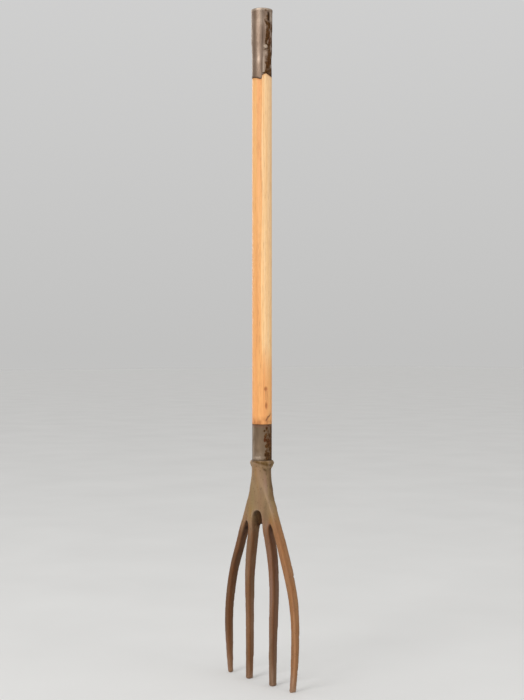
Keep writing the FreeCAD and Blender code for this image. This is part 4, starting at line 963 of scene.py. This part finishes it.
def steel(name, clean, shade, light, seed, metal=0.8, rough=(0.30, 0.52), rust_gain=1.0):
    """Satin tube steel that has rusted in patches."""
    f = Finish(name)
    s = (seed, seed * 0.7, seed * 0.3)
    brush = f.noise((260, 260, 24), 4.0, 0.6, shift=s)
    cloud = f.noise((60, 60, 26), 4.0, 0.6, 0.4, shift=s)
    grain = f.noise((1600, 1600, 900), 3.0, 0.6, shift=s)
    speck = f.noise((620, 620, 520), 3.0, 0.65, shift=s)
    col = f.ramp(cloud, [(0.28, shade), (0.50, clean), (0.74, light)])
    col = f.mix(f.math("MULTIPLY", f.ramp(brush, [(0.35, 0.0), (0.7, 1.0)]), 0.22), col, light)
    # painted reflection: the sleeve's darker band down its front-left
    col = f.mix(f.field("painted_dark_band"), col, f.ramp(brush, [(0.3, rgb(88, 66, 46)), (0.7, rgb(112, 88, 66))]))
    # wear, and the painted highlight strips on the sleeve and ferrule
    col = f.mix(f.field("wear_and_highlight"), col, rgb(198, 180, 162))
    col = f.mix(f.field("stain"), col, rgb(126, 82, 66))
    # rust: torn edges from noise on the painted field
    ragged = f.math("ADD", f.field("rust"), f.math("MULTIPLY", f.math("SUBTRACT", f.noise((420, 420, 330), 5.0, 0.7, shift=s), 0.5), 0.95))
    mask = f.ramp(ragged, [(0.33, 0.0), (0.50, 0.78), (0.66, 1.0)])
    mask = f.math("MULTIPLY", mask, rust_gain, clamp=True)
    rustcol = f.ramp(f.math("ADD", f.math("MULTIPLY", speck, 0.55), f.math("MULTIPLY", f.noise((300, 300, 210), 3.0, 0.6, 0.6, shift=s), 0.45)), [(0.32, rgb(36, 20, 4)), (0.47, rgb(68, 42, 15)), (0.60, rgb(98, 66, 34)), (0.74, rgb(130, 96, 62))])
    redcol = f.ramp(speck, [(0.28, rgb(46, 20, 5)), (0.50, rgb(84, 40, 18)), (0.75, rgb(122, 70, 42))])
    rustcol = f.mix(f.field("red"), rustcol, redcol)
    halo = f.ramp(ragged, [(0.14, 0.0), (0.42, 0.45)])
    col = f.mix(halo, col, rgb(120, 94, 70))
    col = f.mix(mask, col, rustcol)
    tiny = f.ramp(f.noise((1100, 1100, 800), 2.0, 0.5, shift=s), [(0.66, 0.0), (0.74, 1.0)])
    col = f.mix(f.math("MULTIPLY", tiny, 0.55), col, rgb(72, 52, 34))
    # grime, and painted shade in the sleeve's tear and on the crown's right cheek
    col = f.mix(f.field("grime_and_shade"), col, f.ramp(speck, [(0.3, rgb(28, 17, 6)), (0.7, rgb(62, 40, 18))]))
    f.set("Base Color", col)
    cover = f.math("MAXIMUM", mask, f.field("grime_and_shade"), clamp=True)
    f.set("Metallic", f.math("MULTIPLY", f.math("SUBTRACT", 1.0, cover), metal))
    rr = f.ramp(cloud, [(0.3, rough[1]), (0.7, rough[0])])
    f.set("Roughness", f.mix(cover, rr, (0.86, 0.86, 0.86, 1)))
    f.bsdf.inputs["Specular IOR Level"].default_value = 0.12
    b = f.bump(grain, 0.00006, 0.35)
    b = f.bump(brush, 0.00010, 0.30, b)
    b = f.bump(f.math("MULTIPLY", mask, f.math("ADD", speck, 0.4)), 0.00030, 0.8, b)
    f.set("Normal", b)
    return f


def forged_steel():
    f = Finish("forged_steel")
    cloud = f.noise((38, 38, 16), 5.0, 0.6, 0.5)
    tint = f.noise((52, 52, 9), 3.0, 0.55, 0.3, shift=(5, 3, 1))
    streak = f.noise((300, 300, 11), 4.0, 0.62, 0.25, shift=(1, 7, 2))
    broad = f.noise((120, 120, 6.5), 3.0, 0.55, 0.3, shift=(9, 2, 4))
    speck = f.noise((560, 560, 430), 4.0, 0.68)
    grain = f.noise((1700, 1700, 1300), 3.0, 0.6)
    tines = f.field("tines")
    tine_darkening = f.field("tine_darkening")
    # crown and neck: olive brown oxide, clouded
    col = f.ramp(cloud, [(0.25, rgb(112, 88, 60)), (0.45, rgb(138, 113, 82)), (0.60, rgb(149, 122, 88)), (0.78, rgb(162, 137, 104))])
    col = f.mix(f.ramp(tint, [(0.50, 0.0), (0.74, 0.45)]), col, rgb(148, 112, 88))        # pinkish
    col = f.mix(f.ramp(tint, [(0.26, 0.50), (0.46, 0.0)]), col, rgb(142, 124, 76))        # olive
    col = f.mix(f.math("MULTIPLY", f.field("ochre"), f.ramp(broad, [(0.34, 0.35), (0.60, 0.85)])), col, rgb(158, 118, 62))
    # tines: greyer brown faces
    col = f.mix(f.math("MULTIPLY", tines, 0.85), col, f.ramp(cloud, [(0.3, rgb(118, 92, 68)), (0.7, rgb(146, 116, 88))]))
    # one outer tine is more orange than the rest
    col = f.mix(f.math("MULTIPLY", f.field("warm"), f.ramp(broad, [(0.32, 0.55), (0.60, 0.90)])), col, f.ramp(streak, [(0.3, rgb(146, 100, 58)), (0.7, rgb(176, 128, 84))]))
    # mauve oxide
    col = f.mix(f.math("MULTIPLY", f.field("mauve"), f.ramp(f.noise((70, 70, 8), 3.0, 0.5, 0.3, shift=(2, 8, 6)), [(0.36, 0.25), (0.62, 0.90)])), col, rgb(154, 116, 106))
    # greyer tone, and painted light on tine A's inner flank below its crotch
    col = f.mix(f.math("MULTIPLY", f.field("ashen_and_lit"), f.ramp(broad, [(0.30, 0.35), (0.62, 0.85)])), col, rgb(134, 113, 92))
    # rust drawn along the corners and the front of the flanks
    drawn = f.math("MULTIPLY", f.field("streak"), f.ramp(f.math("ADD", f.math("MULTIPLY", streak, 0.6), f.math("MULTIPLY", broad, 0.4)), [(0.34, 0.45), (0.60, 1.0)]))
    rustline = f.ramp(f.math("ADD", f.math("MULTIPLY", speck, 0.5), f.math("MULTIPLY", broad, 0.5)), [(0.34, rgb(98, 54, 20)), (0.52, rgb(136, 84, 36)), (0.68, rgb(166, 112, 56))])
    col = f.mix(f.math("MULTIPLY", drawn, 0.92), col, rustline)
    band = f.ramp(f.math("ADD", streak, f.math("MULTIPLY", f.math("SUBTRACT", broad, 0.5), 0.5)), [(0.46, 0.0), (0.60, 1.0)])
    col = f.mix(f.math("MULTIPLY", band, f.math("ADD", f.math("MULTIPLY", tines, 0.50), 0.10), clamp=True), col, f.ramp(speck, [(0.3, rgb(104, 62, 32)), (0.55, rgb(138, 88, 50)), (0.8, rgb(164, 114, 74))]))
    col = f.mix(f.math("MULTIPLY", f.field("lit"), f.ramp(broad, [(0.30, 0.45), (0.58, 0.95)])), col, rgb(196, 142, 100))
    # painted shade on the flanks, then greyer again along their back edges
    flank = f.math("MULTIPLY", f.field("painted_flank_shade"), f.math("SUBTRACT", 1.0, f.math("MULTIPLY", f.field("warm"), 0.9)))
    col = f.mix(f.math("MULTIPLY", flank, 0.40), col, rgb(84, 56, 34))
    col = f.mix(f.math("MULTIPLY", f.field("backedge"), f.ramp(broad, [(0.30, 0.25), (0.65, 0.65)])), col, rgb(116, 94, 72))
    # some tines are darker than others, the left-hand one most
    toned = f.mix(tine_darkening, (1, 1, 1, 1), f.ramp(broad, [(0.3, (0.52, 0.42, 0.33, 1)), (0.7, (0.66, 0.56, 0.47, 1))]))
    col = f.mix(1.0, col, toned, "MULTIPLY")
    # scale specks and old rust in the pits
    col = f.mix(f.ramp(speck, [(0.62, 0.0), (0.74, 0.50)]), col, rgb(84, 58, 34))
    col = f.mix(f.ramp(speck, [(0.26, 0.28), (0.38, 0.0)]), col, rgb(170, 144, 108))
    col = f.mix(f.math("MULTIPLY", f.ramp(f.cells((210, 210, 170)), [(0.10, 1.0), (0.26, 0.0)]), 0.5), col, rgb(80, 54, 32))
    # painted shade in the crotches; grime in the folds and hollows, with painted shade on the crown's right cheek; a
    # dark brown band along the collar's upper face
    col = f.mix(f.math("MULTIPLY", f.field("dark"), f.ramp(cloud, [(0.3, 1.0), (0.7, 0.94)])), col, f.ramp(speck, [(0.3, rgb(30, 11, 0)), (0.7, rgb(72, 36, 6))]))
    col = f.mix(f.math("MULTIPLY", f.field("grime_and_shade"), 0.82), col, f.ramp(speck, [(0.3, rgb(54, 36, 14)), (0.7, rgb(92, 66, 34))]))
    col = f.mix(f.math("MULTIPLY", f.field("soil"), 0.85), col, f.ramp(speck, [(0.3, rgb(80, 54, 20)), (0.7, rgb(118, 88, 46))]))
    # worn bright along the edges and at the tips, plus a painted highlight band on the crown's right cheek
    wear = f.math("MULTIPLY", f.field("edge_wear_and_sheen"), f.ramp(f.math("ADD", f.math("MULTIPLY", cloud, 0.6), f.math("MULTIPLY", streak, 0.4)), [(0.36, 0.1), (0.58, 1.0)]))
    wear = f.math("MULTIPLY", wear, f.math("SUBTRACT", 0.55, f.math("MULTIPLY", tine_darkening, 0.30)))
    wear = f.math("MULTIPLY", wear, f.math("SUBTRACT", 1.0, f.field("soil"), clamp=True))
    tip = f.math("MULTIPLY", f.field("tipworn"), f.ramp(speck, [(0.3, 0.35), (0.6, 0.85)]))
    bright = f.math("MAXIMUM", wear, f.math("MULTIPLY", tip, 0.62), clamp=True)
    col = f.mix(bright, col, f.ramp(cloud, [(0.3, rgb(160, 134, 112)), (0.7, rgb(186, 162, 140))]))
    f.set("Base Color", col)
    f.set("Metallic", f.math("ADD", f.math("MULTIPLY", bright, 0.40), 0.20))
    f.set("Roughness", f.mix(bright, f.ramp(cloud, [(0.3, 0.66), (0.7, 0.54)]), (0.44, 0.44, 0.44, 1)))
    f.bsdf.inputs["Specular IOR Level"].default_value = 0.18
    b = f.bump(grain, 0.00006, 0.4)
    b = f.bump(speck, 0.00025, 0.45, b)
    b = f.bump(streak, 0.00030, 0.30, b)
    b = f.bump(f.ramp(f.cells((330, 330, 260)), [(0.0, 0.0), (0.34, 1.0)]), 0.00018, 0.5, b)
    f.set("Normal", b)
    return f


# ---------------------------------------------------------------- stage, light, camera

def stage():
    me = bpy.data.meshes.new("floor")
    s = 30.0
    me.from_pydata([(-s, -s, 0), (s, -s, 0), (s, s, 0), (-s, s, 0)], [], [(0, 1, 2, 3)])
    floor = bpy.data.objects.new("floor", me)
    bpy.context.scene.collection.objects.link(floor)
    f = Finish("floor_paper")
    f.set("Base Color", f.ramp(f.noise((3, 3, 3), 2.0, 0.5), [(0.3, (0.76, 0.755, 0.74, 1)), (0.7, (0.79, 0.785, 0.77, 1))]))
    f.set("Roughness", 0.9)
    f.bsdf.inputs["Specular IOR Level"].default_value = 0.1
    f.on(floor)
    world = bpy.data.worlds.new("studio")
    bpy.context.scene.world = world
    world.use_nodes = True
    nt = world.node_tree
    bg = nt.nodes["Background"]
    tc = nt.nodes.new("ShaderNodeTexCoord")
    sep = nt.nodes.new("ShaderNodeSeparateXYZ")
    ramp = nt.nodes.new("ShaderNodeValToRGB")
    nt.links.new(tc.outputs["Generated"], sep.inputs[0])
    nt.links.new(sep.outputs[2], ramp.inputs[0])
    e = ramp.color_ramp.elements
    e[0].position, e[0].color = 0.0, (0.54, 0.538, 0.532, 1)
    e[1].position, e[1].color = 0.45, (0.68, 0.68, 0.68, 1)
    # a soft pale wall to the left, behind the object, that lights its left-hand edges
    dot = nt.nodes.new("ShaderNodeVectorMath")
    dot.operation = "DOT_PRODUCT"
    nt.links.new(tc.outputs["Generated"], dot.inputs[0])
    wall = math.radians(-94.0)
    dot.inputs[1].default_value = (math.sin(wall), -math.cos(wall), 0.0)
    glow = nt.nodes.new("ShaderNodeValToRGB")
    glow.color_ramp.interpolation = "EASE"
    g = glow.color_ramp.elements
    g[0].position, g[0].color = math.cos(math.radians(22.5)), (0, 0, 0, 1)
    g[1].position, g[1].color = math.cos(math.radians(12.5)), (2.35, 2.35, 2.35, 1)
    nt.links.new(dot.outputs["Value"], glow.inputs[0])
    both = nt.nodes.new("ShaderNodeMix")
    both.data_type = "RGBA"
    both.blend_type = "ADD"
    both.inputs[0].default_value = 1.0
    nt.links.new(ramp.outputs[0], both.inputs[6])
    nt.links.new(glow.outputs[0], both.inputs[7])
    nt.links.new(both.outputs[2], bg.inputs[0])
    bg.inputs[1].default_value = 1.0


def lamp(name, azimuth, distance, height, size, size_y, watts, aim=0.6, colour=(1, 1, 1)):
    d = bpy.data.lights.new(name, "AREA")
    d.shape = "RECTANGLE"
    d.size, d.size_y = size, size_y
    d.energy = watts
    d.color = colour
    o = bpy.data.objects.new(name, d)
    bpy.context.scene.collection.objects.link(o)
    a = math.radians(azimuth)
    o.location = (distance * math.sin(a), -distance * math.cos(a), height)
    o.rotation_euler = (Vector((0, 0, aim)) - o.location).to_track_quat("-Z", "Y").to_euler()
    return o


def camera():
    cam = bpy.data.cameras.new("camera")
    cam.lens = 64.29
    cam.sensor_width = 36.0
    cam.sensor_fit = "AUTO"
    cam.clip_end = 100.0
    o = bpy.data.objects.new("camera", cam)
    bpy.context.scene.collection.objects.link(o)
    o.location = (1.6514, -1.3373, 0.5637)
    o.rotation_euler = (math.radians(90.0), 0.0, math.radians(51.0))
    bpy.context.scene.camera = o


bpy.context.scene.view_settings.view_transform = "Standard"
shaft = build_shaft()
ferrule = build_ferrule()
sleeve = build_sleeve()
pin = build_pin()
rivet = build_rivet()
head = build_head()

ash_wood().on(shaft)
steel("sleeve_steel", rgb(130, 110, 95), rgb(106, 86, 71), rgb(157, 138, 123), 3.0, 0.58, (0.36, 0.52)).on(sleeve)
steel("ferrule_steel", rgb(114, 95, 76), rgb(98, 80, 62), rgb(134, 114, 93), 8.0, 0.40, (0.48, 0.62)).on(ferrule)
steel("rivet_steel", rgb(140, 119, 98), rgb(112, 92, 72), rgb(168, 147, 126), 14.0, 0.55, (0.34, 0.5)).on(rivet)
steel("pin_steel", rgb(70, 48, 30), rgb(50, 32, 18), rgb(98, 72, 50), 19.0, 0.4, (0.45, 0.6)).on(pin)
forged_steel().on(head)

stage()
lamp("key", 10.0, 5.4, 2.7, 2.6, 3.6, 162.0)
lamp("fill", 92.0, 5.6, 2.2, 3.0, 3.4, 66.0)
camera()
